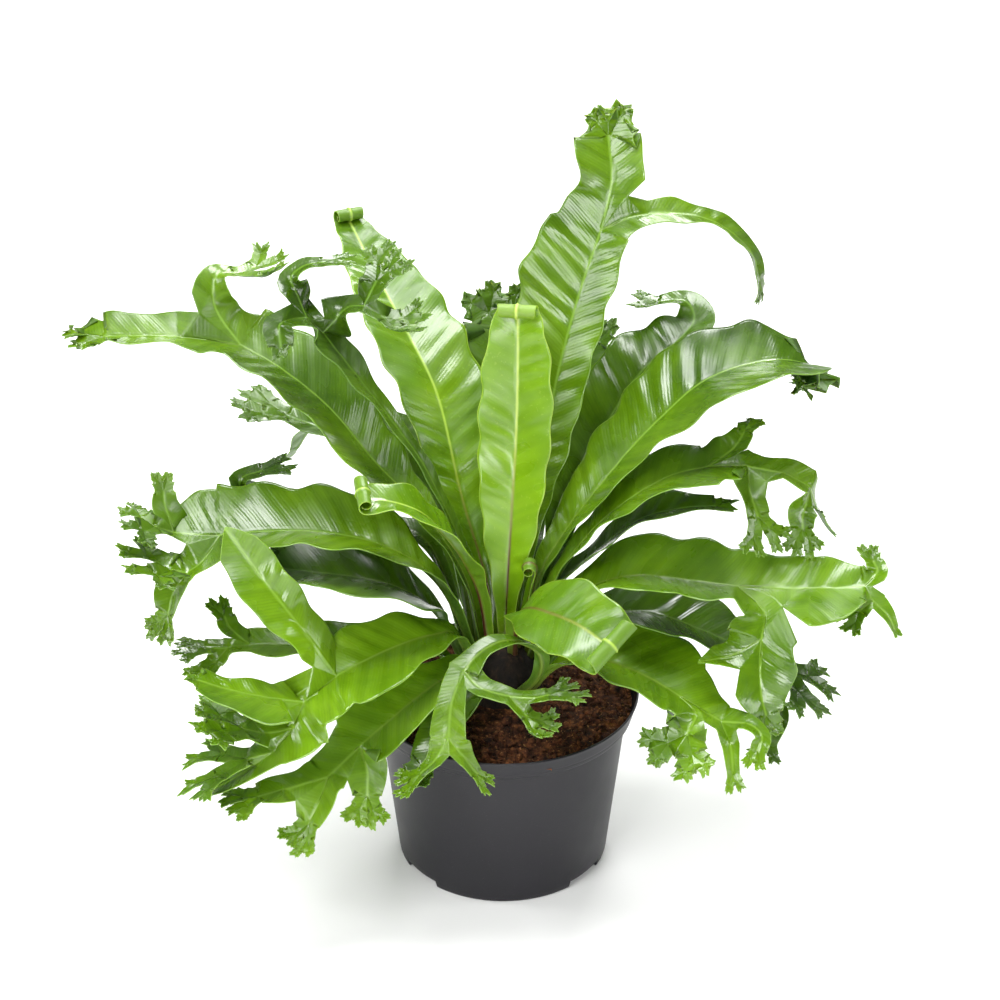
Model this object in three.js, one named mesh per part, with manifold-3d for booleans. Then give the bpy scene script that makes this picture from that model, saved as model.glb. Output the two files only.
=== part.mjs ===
// Potted fern with crested fronds, in a round dark nursery pot.
// Millimetres, +Z up. The origin is the middle of the pot's base.
import * as THREE from "three";
import * as BufferGeometryUtils from "three/addons/utils/BufferGeometryUtils.js";
import Module from "manifold-3d";

const wasm = await Module();
wasm.setup();

// Pot.
const potHeight = 130;
const rimRadius = 95;
const bandHeight = 15;
const bandBottomRadius = 91;
const bodyTopRadius = 86.5;
const baseRadius = 74;
const potWall = 1.5;
const floorThick = 2;
const channelHeight = 4.5;
const potSides = 48;

// Soil and crown.
const soilGap = 0.3;
const soilEdgeZ = 121;
const soilMiddleZ = 129;
const crownRadius = 27;
const crownTopZ = 166;
const crownFootZ = 120;
const crownSides = 16;

// Fronds.
const bladeThick = 0.8;
const stalkExtra = 1.4;
const rowStep = 16;
const crestStep = 11;
const waveLength = 42;
const waveHeight = 1.6;
const edgeSwell = 0.04;
const swellLength = 31;
const stalkFade = 22;
const footFade = 45;
const footFold = 25;
const forkNarrow = 0.9;
const skewShare = 0.8;
const fingerShare = 0.3;
const fingerHalfLeast = 2.2;
const fingerShorten = 0.8;
const fanWiden = 1.2;
const tipNarrow = 0.7;
const rollSides = 7;
const rollTighten = 1.6;
const rollNarrow = 0.25;
const socketGap = 0.3;

// ---- small vector helpers on [x, y, z] lists ----
const add = (a, b, k = 1) => [a[0] + b[0] * k, a[1] + b[1] * k, a[2] + b[2] * k];
const sub = (a, b) => [a[0] - b[0], a[1] - b[1], a[2] - b[2]];
const dot = (a, b) => a[0] * b[0] + a[1] * b[1] + a[2] * b[2];
const cross = (a, b) => [
  a[1] * b[2] - a[2] * b[1],
  a[2] * b[0] - a[0] * b[2],
  a[0] * b[1] - a[1] * b[0],
];
const size = (a) => Math.hypot(a[0], a[1], a[2]);
const unit = (a) => {
  const n = size(a) || 1;
  return [a[0] / n, a[1] / n, a[2] / n];
};
const mix = (a, b, t) => [a[0] + (b[0] - a[0]) * t, a[1] + (b[1] - a[1]) * t, a[2] + (b[2] - a[2]) * t];
const turn = (a, axis, angle) => {
  const c = Math.cos(angle);
  const s = Math.sin(angle);
  const k = dot(axis, a) * (1 - c);
  const w = cross(axis, a);
  return [0, 1, 2].map((i) => a[i] * c + w[i] * s + axis[i] * k);
};
const radians = (d) => (d * Math.PI) / 180;
const ease = (t) => {
  const u = Math.min(1, Math.max(0, t));
  return u * u * (3 - 2 * u);
};

// A repeatable draw in 0..1 for a whole number.
const draw = (i) => {
  const v = Math.sin(i * 12.9898 + 4.1414) * 43758.5453;
  return v - Math.floor(v);
};

// Smooth route through stations [x, y, z, left half, right half], sampled at even steps of length.
function smoothRoute(given, step) {
  const stations = given.map((q) => (q.length < 5 ? [...q, q[3]] : q));
  const dense = [];
  const last = stations.length - 1;
  const perSpan = 24;
  for (let i = 0; i < last; i += 1) {
    const p1 = stations[i];
    const p2 = stations[i + 1];
    const p0 = stations[i - 1] ?? p1.map((v, k) => 2 * v - p2[k]);
    const p3 = stations[i + 2] ?? p2.map((v, k) => 2 * v - p1[k]);
    for (let j = 0; j < perSpan; j += 1) {
      const t = j / perSpan;
      dense.push(p1.map((v, k) => {
        const a = 2 * v;
        const b = p2[k] - p0[k];
        const c = 2 * p0[k] - 5 * v + 4 * p2[k] - p3[k];
        const d = 3 * v - p0[k] - 3 * p2[k] + p3[k];
        return 0.5 * (a + b * t + c * t * t + d * t * t * t);
      }));
    }
  }
  dense.push(stations[last].slice());
  const along = [0];
  for (let i = 1; i < dense.length; i += 1) along.push(along[i - 1] + size(sub(dense[i], dense[i - 1])));
  const total = along[along.length - 1];
  const count = Math.max(1, Math.round(total / step));
  const rows = [];
  for (let i = 0; i <= count; i += 1) {
    const s = (total * i) / count;
    let j = 0;
    while (j < along.length - 2 && along[j + 1] < s) j += 1;
    const t = Math.min(1, Math.max(0, (s - along[j]) / (along[j + 1] - along[j])));
    rows.push({
      at: mix(dense[j], dense[j + 1], t),
      left: dense[j][3] + (dense[j + 1][3] - dense[j][3]) * t,
      right: dense[j][4] + (dense[j + 1][4] - dense[j][4]) * t,
      go: unit(sub(dense[j + 1], dense[j])),
      s,
    });
  }
  return { rows, total };
}

// Rows of a blade: place, direction, side vector and upward normal at each step.
// "from" is the parent's last row, whose side vector the branch takes over and then eases out of.
function bladeRows(route, from, roll, look, step, startAlong) {
  const { rows, total } = smoothRoute(route, step);
  const ends = sub(route[route.length - 1], route[0]);
  const away = look === null ? unit([ends[0], ends[1], 0]) : [Math.cos(look), Math.sin(look), 0];
  let first = null;
  rows.forEach((row) => {
    const flat = unit([row.go[0] + away[0] * 0.4, row.go[1] + away[1] * 0.4, 0]);
    let side = cross([0, 0, 1], flat);
    side = unit(add(side, row.go, -dot(side, row.go)));
    if (first === null) {
      first = -roll;
      if (from) {
        const share = dot(from.side, row.go) / (1 + dot(from.go, row.go));
        const carried = add(from.side, add(from.go, row.go), -share);
        first = Math.atan2(dot(cross(side, carried), row.go), dot(side, carried)) - roll;
        if (first > Math.PI) first -= 2 * Math.PI;
        if (first < -Math.PI) first += 2 * Math.PI;
      }
    }
    const angle = roll + first * (1 - ease(row.s / Math.max(0.7 * total, 20)));
    row.side = turn(side, row.go, angle);
    if (from) {
      // A branch starts with its cross rows parallel to its parent's, so that their edges run on.
      const reach = Math.min(skewShare * total, (from.left + from.right) / 2);
      const skew = (1 - ease(row.s / reach)) * Math.max(0, dot(from.go, rows[0].go));
      row.side = unit(mix(row.side, from.side, skew));
    }
    row.up = unit(cross(row.go, row.side));
    row.along = startAlong + row.s;
  });
  return rows;
}

// Rows of a tip that rolls over towards the upper face, like a watch spring.
function rollRows(last, turns, wide) {
  const count = Math.round(turns * rollSides);
  const angle = (2 * Math.PI * turns) / count;
  const rows = [];
  let row = last;
  for (let k = 1; k <= count; k += 1) {
    const t = k / count;
    const radius = wide - rollTighten * turns * t;
    const middle = turn(row.go, row.side, -angle / 2);
    const go = turn(row.go, row.side, -angle);
    row = {
      at: add(row.at, middle, 2 * radius * Math.sin(angle / 2)),
      left: last.left * (1 - rollNarrow * t),
      right: last.right * (1 - rollNarrow * t),
      go,
      side: row.side,
      up: cross(go, row.side),
      along: row.along + radius * angle,
      flat: true,
    };
    rows.push(row);
  }
  return rows;
}

// Rows of one short finger of a crest, turned by "yaw" from its parent and curled by "curl".
function fingerRows(from, yaw, curl, length, half, endHalf) {
  const count = Math.max(1, Math.round(length / crestStep));
  const rows = [from];
  let go = turn(from.go, from.up, yaw);
  let side = turn(from.side, from.up, yaw);
  let at = from.at;
  for (let k = 1; k <= count; k += 1) {
    go = turn(go, side, -curl / count);
    at = add(at, go, length / count);
    const t = k / count;
    rows.push({
      at,
      left: half + (endHalf - half) * t,
      right: half + (endHalf - half) * t,
      go,
      side,
      up: cross(go, side),
      along: from.along + length * t,
    });
  }
  return rows;
}

// Point of a row across the blade: v is 1 on its left edge, 0 on the midrib and -1 on its right edge.
function acrossRow(frond, row, v, along) {
  const near = Math.exp(-along / footFade);
  const fold = row.flat ? 0 : radians(frond.fold + footFold * near);
  const swell = 1 + edgeSwell * Math.sin((2 * Math.PI * along) / swellLength + frond.phase * 2 + v);
  const half = (v > 0 ? row.left : row.right) * (row.flat ? 1 : swell);
  const rise = Math.sin((2 * Math.PI * along) / waveLength + frond.phase + (v > 0 ? 0 : 2.1));
  const reach = Math.min(1, half / 18) * (row.flat ? 0 : 1) * (1 - near);
  const lift = half * Math.abs(v) * Math.sin(fold) + waveHeight * rise * v * v * reach;
  return add(add(row.at, row.side, half * v * Math.cos(fold)), row.up, lift);
}

const columns = [1, 0, -1];
const middleColumn = 1;

function layRow(frond, row, inner, weld) {
  return columns.map((v, j) => {
    if (weld && v * inner > 0) {
      if (j === 0 || j === columns.length - 1) return weld.id;
      return addPoint(frond, mix(row.at, weld.at, Math.abs(v)), row.along);
    }
    return addPoint(frond, acrossRow(frond, row, v, row.along), row.along);
  });
}

function addPoint(frond, at, along) {
  frond.points.push(at);
  frond.thick.push(frond.bladeThick + stalkExtra * Math.exp(-along / stalkFade));
  return frond.points.length - 1;
}

function joinRows(frond, a, b) {
  for (let j = 0; j < a.length - 1; j += 1) {
    const quad = [
      [a[j], a[j + 1], b[j]],
      [a[j + 1], b[j + 1], b[j]],
    ];
    quad.forEach((t) => {
      if (t[0] !== t[1] && t[1] !== t[2] && t[2] !== t[0]) frond.faces.push(t);
    });
  }
}

// Lay rows 1.. of a blade from the vertex row "ids"; "welds" holds the points shared with its twin.
function layBlade(frond, rows, ids, inner, welds, ending) {
  let before = ids;
  for (let k = 1; k < rows.length; k += 1) {
    let now;
    if (k === rows.length - 1 && ending === "point") {
      const tip = addPoint(frond, rows[k].at, rows[k].along);
      now = columns.map(() => tip);
    } else {
      now = layRow(frond, rows[k], inner, welds?.[k]);
    }
    joinRows(frond, before, now);
    before = now;
  }
  return before;
}

// Two blades that leave the end of another share their inner edges until they have parted.
function forkWelds(frond, left, right) {
  const welds = [];
  const count = Math.min(left.length, right.length) - 1;
  for (let k = 1; k < count; k += 1) {
    const gap = size(sub(left[k].at, right[k].at)) / 2;
    if (gap > 0.48 * (left[k].right + right[k].left)) break;
    const up = unit(add(left[k].up, right[k].up));
    const at = add(mix(left[k].at, right[k].at, 0.5), up, gap * 0.35);
    welds[k] = { at, id: addPoint(frond, at, left[k].along) };
  }
  return welds;
}

function forkIds(ids, isLeft) {
  return ids.map((id, j) => {
    if (isLeft) return j <= middleColumn ? id : ids[middleColumn];
    return j >= middleColumn ? id : ids[middleColumn];
  });
}

// A crest: short fingers that fork again and again, each pair a little turned and curled.
function growCrest(frond, from, ids, depth, length, spread, curl) {
  const twins = [1, -1].map((hand) => {
    frond.count += 1;
    const a = draw(frond.seed * 31 + frond.count);
    const b = draw(frond.seed * 57 + frond.count * 3);
    const reach = length * (0.92 + 0.5 * a);
    const half = Math.max(fingerHalfLeast, (from.left + from.right) * fingerShare);
    const bend = curl * (0.6 + 0.8 * b);
    const isTip = depth <= 1;
    const aside = hand * spread * (0.8 + 0.4 * b);
    return fingerRows(from, aside, bend, reach, half, isTip ? half * tipNarrow : half * fanWiden);
  });
  const welds = forkWelds(frond, twins[0], twins[1]);
  twins.forEach((rows, i) => {
    const ending = depth <= 1 ? "point" : "open";
    const next = layBlade(frond, rows, forkIds(ids, i === 0), i === 0 ? -1 : 1, welds, ending);
    if (depth > 1) {
      growCrest(frond, rows[rows.length - 1], next, depth - 1, length * fingerShorten, spread, curl);
    }
  });
}

// Grow one stretch of a frond and whatever its end carries.
function finishBlade(frond, spec, rows, ids) {
  const last = rows[rows.length - 1];
  if (spec.fork) {
    const twins = spec.fork.map((child) => {
      const start = [...last.at, last.left * forkNarrow, last.right * forkNarrow];
      return bladeRows([start, ...child.route], last, radians(child.roll ?? 0), null, rowStep, last.along);
    });
    const welds = forkWelds(frond, twins[0], twins[1]);
    twins.forEach((branch, i) => {
      const child = spec.fork[i];
      const hand = i === 0 ? -1 : 1;
      const next = layBlade(frond, branch, forkIds(ids, i === 0), hand, welds, child.end ?? "open");
      finishBlade(frond, child, branch, next);
    });
  } else if (spec.crest) {
    const [depth, length, spread, curl] = spec.crest;
    growCrest(frond, last, ids, depth, length, radians(spread), radians(curl));
  }
}

function growFrond(spec, extra = 0) {
  const frond = {
    points: [],
    thick: [],
    faces: [],
    count: 0,
    seed: spec.seed,
    phase: spec.seed * 1.7,
    fold: spec.fold ?? 14,
    bladeThick: bladeThick + extra * 2,
  };
  const root = rootStation(spec);
  const azimuth = radians(spec.at);
  let rows = bladeRows([root, ...spec.route], null, radians(spec.roll ?? 0), azimuth, rowStep, 0);
  if (extra > 0) {
    rows = rows.slice(0, 3);
    rows[0] = { ...rows[0], at: add(rows[0].at, rows[0].go, -extra) };
    rows.forEach((row) => {
      row.left += extra * 1.4;
      row.right += extra * 1.4;
    });
  } else if (spec.tipRoll) {
    const last = rows[rows.length - 1];
    last.flat = true;
    rows = [...rows, ...rollRows(last, spec.tipRoll[0], spec.tipRoll[1])];
  }
  const ids = layRow(frond, rows[0], 0, null);
  const end = layBlade(frond, rows, ids, 0, null, "open");
  if (extra === 0) finishBlade(frond, spec, rows, end);
  return frond;
}

// Give the sheet its thickness: the same triangles on both faces and a band round the edge.
function thickenSheet(frond) {
  const normals = frond.points.map(() => [0, 0, 0]);
  const edges = new Map();
  frond.faces.forEach((t) => {
    const [p, q, r] = t.map((id) => frond.points[id]);
    const n = cross(sub(q, p), sub(r, p));
    t.forEach((id, k) => {
      normals[id] = add(normals[id], n);
      edges.set(`${id},${t[(k + 1) % 3]}`, [id, t[(k + 1) % 3]]);
    });
  });
  const count = frond.points.length;
  const place = (id, hand) => add(frond.points[id], unit(normals[id]), (hand * frond.thick[id]) / 2);
  const positions = frond.points.map((p, id) => place(id, 1));
  frond.points.forEach((p, id) => positions.push(place(id, -1)));
  const index = [];
  frond.faces.forEach(([a, b, c]) => {
    index.push(a, b, c);
    index.push(c + count, b + count, a + count);
  });
  edges.forEach(([a, b]) => {
    if (edges.has(`${b},${a}`)) return;
    index.push(b, a, a + count);
    index.push(b, a + count, b + count);
  });
  const geometry = new THREE.BufferGeometry();
  geometry.setAttribute("position", new THREE.Float32BufferAttribute(positions.flat(), 3));
  geometry.setIndex(index);
  return geometry;
}

// Where a frond stands in the crown: three rings, the inner ones higher up.
function rootStation(spec) {
  const ring = [
    [9, 156],
    [16.5, 147],
    [23, 136],
  ][spec.ring - 1];
  const a = radians(spec.root ?? spec.at);
  return [ring[0] * Math.cos(a), ring[0] * Math.sin(a), ring[1], 3.8];
}

// The fronds, counted from the middle of the rosette outwards. "at" is the side that a frond leans to and
// "root" its place in the crown, in degrees round +Z. A station is [x, y, z, left half, right half], one
// half for both where they are alike. A crest is [forks, length, spread, curl], in mm and degrees.
const frondTable = [
  {
    name: "frond_centre", tone: "young", ring: 1, at: 80, root: 80, seed: 1, fold: 16,
    route: [[3, 14, 200, 10], [6, 25, 255, 21], [9, 37, 310, 26], [10, 47, 358, 24], [10, 52, 386, 18],
      [10, 53, 396, 14]],
    tipRoll: [1.15, 5],
  },
  {
    name: "frond_left_tall", tone: "young", ring: 2, at: 117, root: 118, seed: 2, fold: 16,
    route: [[-11, 28, 195, 8], [-29, 50, 255, 16, 19], [-45, 82, 315, 31, 33], [-65, 116, 345, 32, 36],
      [-87, 156, 370, 25, 28], [-111, 209, 395, 11]],
    tipRoll: [1.15, 5],
  },
  {
    name: "frond_right_tall", tone: "grown", ring: 2, at: 62, root: 65, seed: 3, fold: 14,
    route: [[16, 40, 225, 10], [28, 60, 290, 22], [40, 80, 345, 34, 27], [53, 96, 390, 45, 29],
      [67, 112, 428, 39, 27]],
    fork: [
      { route: [[74, 128, 456, 23, 24], [72, 145, 484, 26, 22]], crest: [2, 12, 32, 10] },
      { route: [[89, 113, 438, 13], [118, 118, 438, 13], [146, 120, 430, 14], [169, 118, 411, 14],
        [176, 114, 391, 9]], crest: [2, 8, 24, -10] },
    ],
  },
  {
    name: "frond_left_big", tone: "grown", ring: 2, at: 158, root: 149, seed: 4, fold: 18,
    route: [[-26, 15, 208, 8], [-54, 24, 255, 20, 13], [-88, 35, 290, 43, 28], [-118, 46, 325, 50, 34],
      [-150, 55, 350, 49, 39], [-178, 62, 365, 42, 37]],
    fork: [
      { route: [[-208, 60, 371, 40, 26], [-238, 55, 375, 32, 24], [-268, 50, 377, 27, 24]],
        crest: [2, 14, 34, -10] },
      { route: [[-194, 74, 384, 22, 16], [-197, 81, 397, 14, 13], [-193, 87, 406, 10],
        [-183, 90, 405, 11]], crest: [3, 14, 34, 20] },
    ],
  },
  {
    name: "frond_right_big", tone: "grown", ring: 2, at: 25, root: 35, seed: 5, fold: 18,
    route: [[26, 20, 208, 8], [46, 27, 245, 17], [66, 32, 272, 26], [86, 41, 295, 31, 29],
      [108, 50, 316, 37, 44], [134, 61, 336, 42, 59], [162, 70, 345, 43, 68], [191, 78, 346, 37, 62],
      [210, 84, 340, 27, 34]],
    crest: [3, 10, 28, -75],
  },
  {
    name: "frond_right_back", tone: "old", ring: 3, at: 48, root: 44, seed: 6, fold: 14,
    route: [[35, 33, 212, 8], [52, 60, 262, 22, 18], [75, 86, 298, 29, 24], [98, 106, 325, 34, 26],
      [122, 126, 337, 27, 20], [135, 141, 347, 16], [129, 151, 357, 11], [111, 152, 356, 10]],
    crest: [2, 11, 30, 10],
  },
  {
    name: "frond_left_wide", tone: "grown", ring: 2, at: 187, root: 200, seed: 7, fold: 21, roll: -6,
    route: [[-36, -8, 205, 14, 8], [-56, -12, 235, 29, 13], [-84, -12, 252, 33, 32], [-115, -10, 259, 38, 37],
      [-143, -10, 261, 38, 38], [-170, -12, 261, 34, 40], [-190, -14, 260, 28, 42]],
    fork: [
      {
        route: [[-200, -34, 252, 19], [-210, -40, 246, 17]],
        fork: [
          { route: [[-219, -46, 235, 14], [-223, -50, 221, 11]], crest: [3, 9, 28, 10] },
          { route: [[-221, -43, 250, 16]], crest: [3, 16, 44, 5] },
        ],
      },
      {
        route: [[-206, -15, 261, 17, 36], [-221, -16, 263, 14, 21]],
        roll: -6,
        fork: [
          { route: [[-233, -20, 270, 15]], crest: [3, 12, 40, 0] },
          { route: [[-227, -6, 278, 10], [-228, -2, 287, 8]], crest: [2, 7, 22, 0] },
        ],
      },
    ],
  },
  {
    name: "frond_left_young", tone: "young", ring: 1, at: 208, root: 200, seed: 8, fold: 14, roll: -10,
    route: [[-15, -9, 207, 8], [-24, -17, 238, 15], [-37, -27, 266, 20], [-55, -36, 290, 19],
      [-76, -41, 301, 17], [-92, -44, 304, 16]],
    tipRoll: [1.15, 5],
  },
  {
    name: "frond_left_under", tone: "old", ring: 3, at: 188, root: 182, seed: 9, fold: 14,
    route: [[-44, -6, 192, 15, 11], [-72, -15, 220, 50, 36], [-104, -21, 232, 46, 36],
      [-136, -24, 238, 33, 33],
      [-157, -26, 243, 18]],
    crest: [1, 14, 26, 0],
  },
  {
    name: "frond_left_low", tone: "grown", ring: 3, at: 186, root: 200, seed: 22, fold: 12,
    route: [[-44, -16, 168, 8], [-80, -13, 174, 18], [-118, -16, 176, 24, 22], [-150, -21, 178, 23, 19],
      [-172, -26, 181, 18, 15]],
    fork: [
      {
        route: [[-187, -31, 182, 12]],
        fork: [
          { route: [[-195, -38, 175, 9]], crest: [3, 8, 26, 10] },
          { route: [[-201, -35, 184, 9]], crest: [3, 9, 28, 0] },
        ],
      },
      { route: [[-186, -21, 191, 10], [-190, -17, 198, 8]], crest: [2, 8, 26, 0] },
    ],
  },
  {
    name: "frond_front_left", tone: "grown", ring: 3, at: 213, root: 220, seed: 10, fold: 9, roll: -8,
    route: [[-30, -27, 188, 9], [-50, -39, 196, 22, 20], [-72, -51, 195, 33, 29], [-93, -63, 191, 41, 31],
      [-111, -72, 185, 40, 27]],
    fork: [
      {
        route: [[-132, -88, 175, 37, 24]],
        fork: [
          {
            route: [[-139, -98, 161, 34, 21]],
            fork: [
              {
                route: [[-152, -107, 148, 19]],
                fork: [
                  { route: [[-177, -112, 131, 12], [-196, -113, 120, 8]], crest: [1, 8, 24, 0] },
                  { route: [[-169, -108, 143, 12]], crest: [3, 18, 32, 0] },
                ],
              },
              { route: [[-158, -101, 159, 21], [-171, -103, 163, 18]], crest: [3, 14, 36, 0] },
            ],
          },
          { route: [[-157, -92, 181, 39, 17], [-180, -94, 188, 31, 13], [-201, -93, 195, 13]],
            crest: [1, 8, 24, 0] },
        ],
      },
      { route: [[-131, -66, 214, 19, 17], [-153, -62, 246, 19, 16], [-169, -58, 270, 17, 15],
        [-182, -54, 289, 11]],
        roll: -60, end: "point" },
    ],
  },
  {
    name: "frond_front_low", tone: "grown", ring: 3, at: 232, root: 241, seed: 11, fold: 14, roll: -8,
    route: [[-24, -37, 170, 9], [-37, -48, 170, 16], [-56, -60, 162, 23], [-78, -72, 148, 27],
      [-96, -82, 136, 26]],
    fork: [
      { route: [[-91, -94, 124, 14], [-91, -102, 110, 10]], crest: [3, 10, 28, 15] },
      {
        route: [[-117, -98, 122, 22, 18]],
        fork: [
          { route: [[-122, -110, 112, 15], [-129, -118, 99, 10]], crest: [3, 9, 28, 15] },
          { route: [[-142, -108, 120, 21, 14], [-162, -114, 117, 12]], crest: [3, 10, 28, 0] },
        ],
      },
    ],
  },
  {
    name: "frond_front_under", tone: "old", ring: 3, at: 243, root: 265, seed: 12, fold: 12,
    route: [[-14, -42, 154, 8], [-27, -58, 153, 13], [-41, -77, 146, 15], [-53, -95, 130, 11]],
    crest: [2, 11, 30, 20],
  },
  {
    name: "frond_front_crested", tone: "grown", ring: 3, at: 262, root: 293, seed: 13, fold: 10,
    route: [[24, -38, 164, 5], [25, -46, 186, 6], [13, -52, 199, 7], [-1, -59, 204, 8],
      [-15, -68, 201, 9], [-26, -80, 194, 12]],
    fork: [
      {
        route: [[-15, -93, 189, 10], [4, -99, 186, 9]],
        fork: [
          { route: [[20, -99, 185, 8], [30, -97, 186, 7]], crest: [3, 9, 28, 0] },
          { route: [[15, -105, 175, 8]], crest: [3, 9, 32, 20] },
        ],
      },
      {
        route: [[-34, -92, 176, 11], [-36, -101, 156, 13]],
        fork: [
          { route: [[-25, -107, 142, 8], [-18, -110, 133, 6]], crest: [2, 8, 28, 10] },
          { route: [[-45, -108, 142, 8], [-54, -111, 134, 7]], crest: [3, 8, 28, 10] },
        ],
      },
    ],
  },
  {
    name: "frond_right_folded", tone: "young", ring: 1, at: 312, root: 325, seed: 14, fold: 10, roll: 32,
    route: [[9, -14, 194, 8], [17, -31, 213, 17], [31, -50, 221, 27], [51, -72, 224, 28],
      [71, -92, 219, 22]],
    tipRoll: [0.8, 6],
  },
  {
    name: "frond_bud", tone: "young", ring: 1, at: 20, root: 22, seed: 15, fold: 12,
    route: [[17, 3, 195, 6], [20, 2, 212, 7], [22, 0, 226, 6.5]],
    tipRoll: [1.15, 4.5],
  },
  {
    name: "frond_right_wide", tone: "grown", ring: 3, at: 352, root: 0, seed: 16, fold: 21, roll: 6,
    route: [[38, -8, 188, 8], [56, -9, 214, 15, 17], [88, -11, 227, 32, 36], [127, -16, 226, 34, 41],
      [158, -22, 225, 32, 37]],
    fork: [
      {
        route: [[192, -26, 226, 25, 56], [222, -28, 227, 22, 46], [243, -29, 229, 16, 22]],
        roll: 18,
        fork: [
          { route: [[252, -21, 235, 9], [250, -15, 240, 7]], crest: [2, 7, 24, 10] },
          {
            route: [[248, -36, 222, 9]],
            fork: [
              { route: [[257, -42, 215, 7], [262, -46, 206, 5]], crest: [1, 7, 24, 10] },
              { route: [[239, -41, 217, 8]], crest: [3, 8, 26, 10] },
            ],
          },
        ],
      },
      {
        route: [[175, -41, 216, 25, 20], [173, -53, 203, 25, 25]],
        fork: [
          { route: [[172, -62, 186, 25, 23], [173, -70, 168, 19], [176, -74, 156, 11]],
            crest: [2, 8, 26, 10] },
          { route: [[155, -57, 193, 22, 12], [141, -61, 191, 19, 11], [130, -64, 191, 10]], end: "point" },
        ],
      },
    ],
  },
  {
    name: "frond_right_under", tone: "old", ring: 3, at: 348, root: 340, seed: 17, fold: 14,
    route: [[46, -9, 176, 9], [68, -14, 197, 21, 21], [100, -18, 202, 31, 38], [134, -24, 192, 31, 29],
      [162, -31, 182, 23, 21]],
    fork: [
      { route: [[185, -39, 175, 14], [193, -42, 170, 13]], crest: [3, 17, 40, 0] },
      { route: [[180, -53, 160, 10], [186, -59, 145, 8], [181, -65, 130, 6]], crest: [2, 9, 28, 10] },
    ],
  },
  {
    name: "frond_right_middle", tone: "grown", ring: 2, at: 8, root: 8, seed: 18, fold: 16,
    route: [[34, 6, 209, 8], [60, 7, 251, 13, 16], [88, 9, 277, 24, 29], [114, 13, 291, 27, 36],
      [138, 16, 296, 24, 55]],
    fork: [
      { route: [[156, 26, 305, 14], [164, 34, 314, 9]], crest: [2, 7, 26, -20] },
      {
        route: [[164, 12, 299, 16, 34]],
        fork: [
          {
            route: [[189, 8, 295, 15, 17], [206, 4, 287, 18, 13]],
            fork: [
              { route: [[212, 5, 270, 8]], crest: [3, 8, 24, 10] },
              { route: [[202, -4, 271, 10], [202, -6, 262, 8]], crest: [3, 8, 28, 10] },
            ],
          },
          { route: [[166, 3, 284, 10], [171, -5, 270, 9]], crest: [3, 11, 32, 10] },
        ],
      },
    ],
  },
  {
    name: "frond_right_thin", tone: "old", ring: 3, at: 2, root: 20, seed: 23, fold: 14,
    route: [[36, 14, 200, 8], [65, 8, 236, 13, 20], [92, 2, 263, 18, 18], [120, -2, 274, 18, 11],
      [142, -4, 277, 10]],
    crest: [1, 14, 24, 0],
  },
  {
    name: "frond_right_lower", tone: "grown", ring: 3, at: 323, root: 318, seed: 19, fold: 14,
    route: [[34, -28, 164, 8], [50, -38, 176, 18, 16], [70, -47, 181, 38, 29], [96, -60, 177, 43, 33],
      [118, -72, 169, 36, 27]],
    fork: [
      {
        route: [[145, -84, 157, 15]],
        fork: [
          { route: [[163, -94, 161, 9], [171, -100, 156, 7], [169, -104, 148, 6]], crest: [2, 7, 26, 10] },
          { route: [[151, -94, 145, 7], [153, -101, 129, 5]], crest: [2, 7, 22, 10] },
        ],
      },
      { route: [[128, -86, 164, 20], [122, -95, 154, 16]], crest: [3, 13, 38, 4] },
    ],
  },
  {
    name: "frond_left_crested", tone: "old", ring: 1, at: 160, root: 140, seed: 20, fold: 12,
    route: [[-20, 8, 215, 6], [-50, 14, 290, 8], [-73, 20, 326, 9], [-92, 24, 352, 13],
      [-109, 27, 375, 23, 18], [-120, 29, 390, 25, 20]],
    fork: [
      {
        route: [[-130, 27, 402, 27, 23]],
        fork: [
          { route: [[-146, 18, 402, 13], [-146, 10, 389, 9]], crest: [1, 10, 26, 20] },
          { route: [[-136, 36, 413, 15], [-140, 39, 425, 9], [-131, 43, 432, 8], [-119, 46, 433, 7]],
            crest: [2, 10, 22, 0] },
        ],
      },
      {
        route: [[-104, 34, 405, 13], [-92, 32, 408, 13]],
        fork: [
          { route: [[-84, 44, 420, 12]], crest: [3, 11, 30, 0] },
          { route: [[-78, 26, 402, 12]], crest: [3, 12, 30, 20] },
        ],
      },
    ],
  },
  {
    name: "frond_back_crest", tone: "old", ring: 3, at: 100, root: 103, seed: 21, fold: 14,
    route: [[-8, 50, 215, 8], [-10, 80, 275, 21], [-8, 110, 316, 27], [-3, 136, 343, 25]],
    crest: [3, 13, 38, 10],
  },
  {
    name: "frond_back_right", tone: "old", ring: 3, at: 66, root: 64, seed: 25, fold: 14,
    route: [[19, 48, 212, 8], [30, 104, 268, 16, 14], [50, 138, 300, 18, 17], [66, 162, 320, 15]],
    crest: [2, 12, 28, 10],
  },
  {
    name: "frond_back_left", tone: "old", ring: 3, at: 125, root: 143, seed: 26, fold: 14,
    route: [[-34, 38, 226, 7], [-62, 76, 258, 13], [-100, 98, 272, 16], [-132, 104, 282, 16],
      [-152, 106, 289, 14]],
    crest: [3, 14, 24, 0],
  },
  {
    name: "frond_left_back", tone: "old", ring: 3, at: 160, root: 163, seed: 27, fold: 12,
    route: [[-48, 20, 228, 9], [-82, 31, 244, 14], [-120, 36, 252, 14], [-156, 40, 260, 12],
      [-180, 42, 265, 10], [-179, 44, 273, 8], [-166, 46, 277, 9]],
    crest: [2, 11, 26, 0],
  },
  {
    name: "frond_back_low_left", tone: "grown", ring: 3, at: 127, root: 123, seed: 28, fold: 14,
    route: [[-32, 42, 196, 8], [-60, 88, 240, 23], [-92, 135, 262, 27], [-125, 172, 256, 20]],
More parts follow.
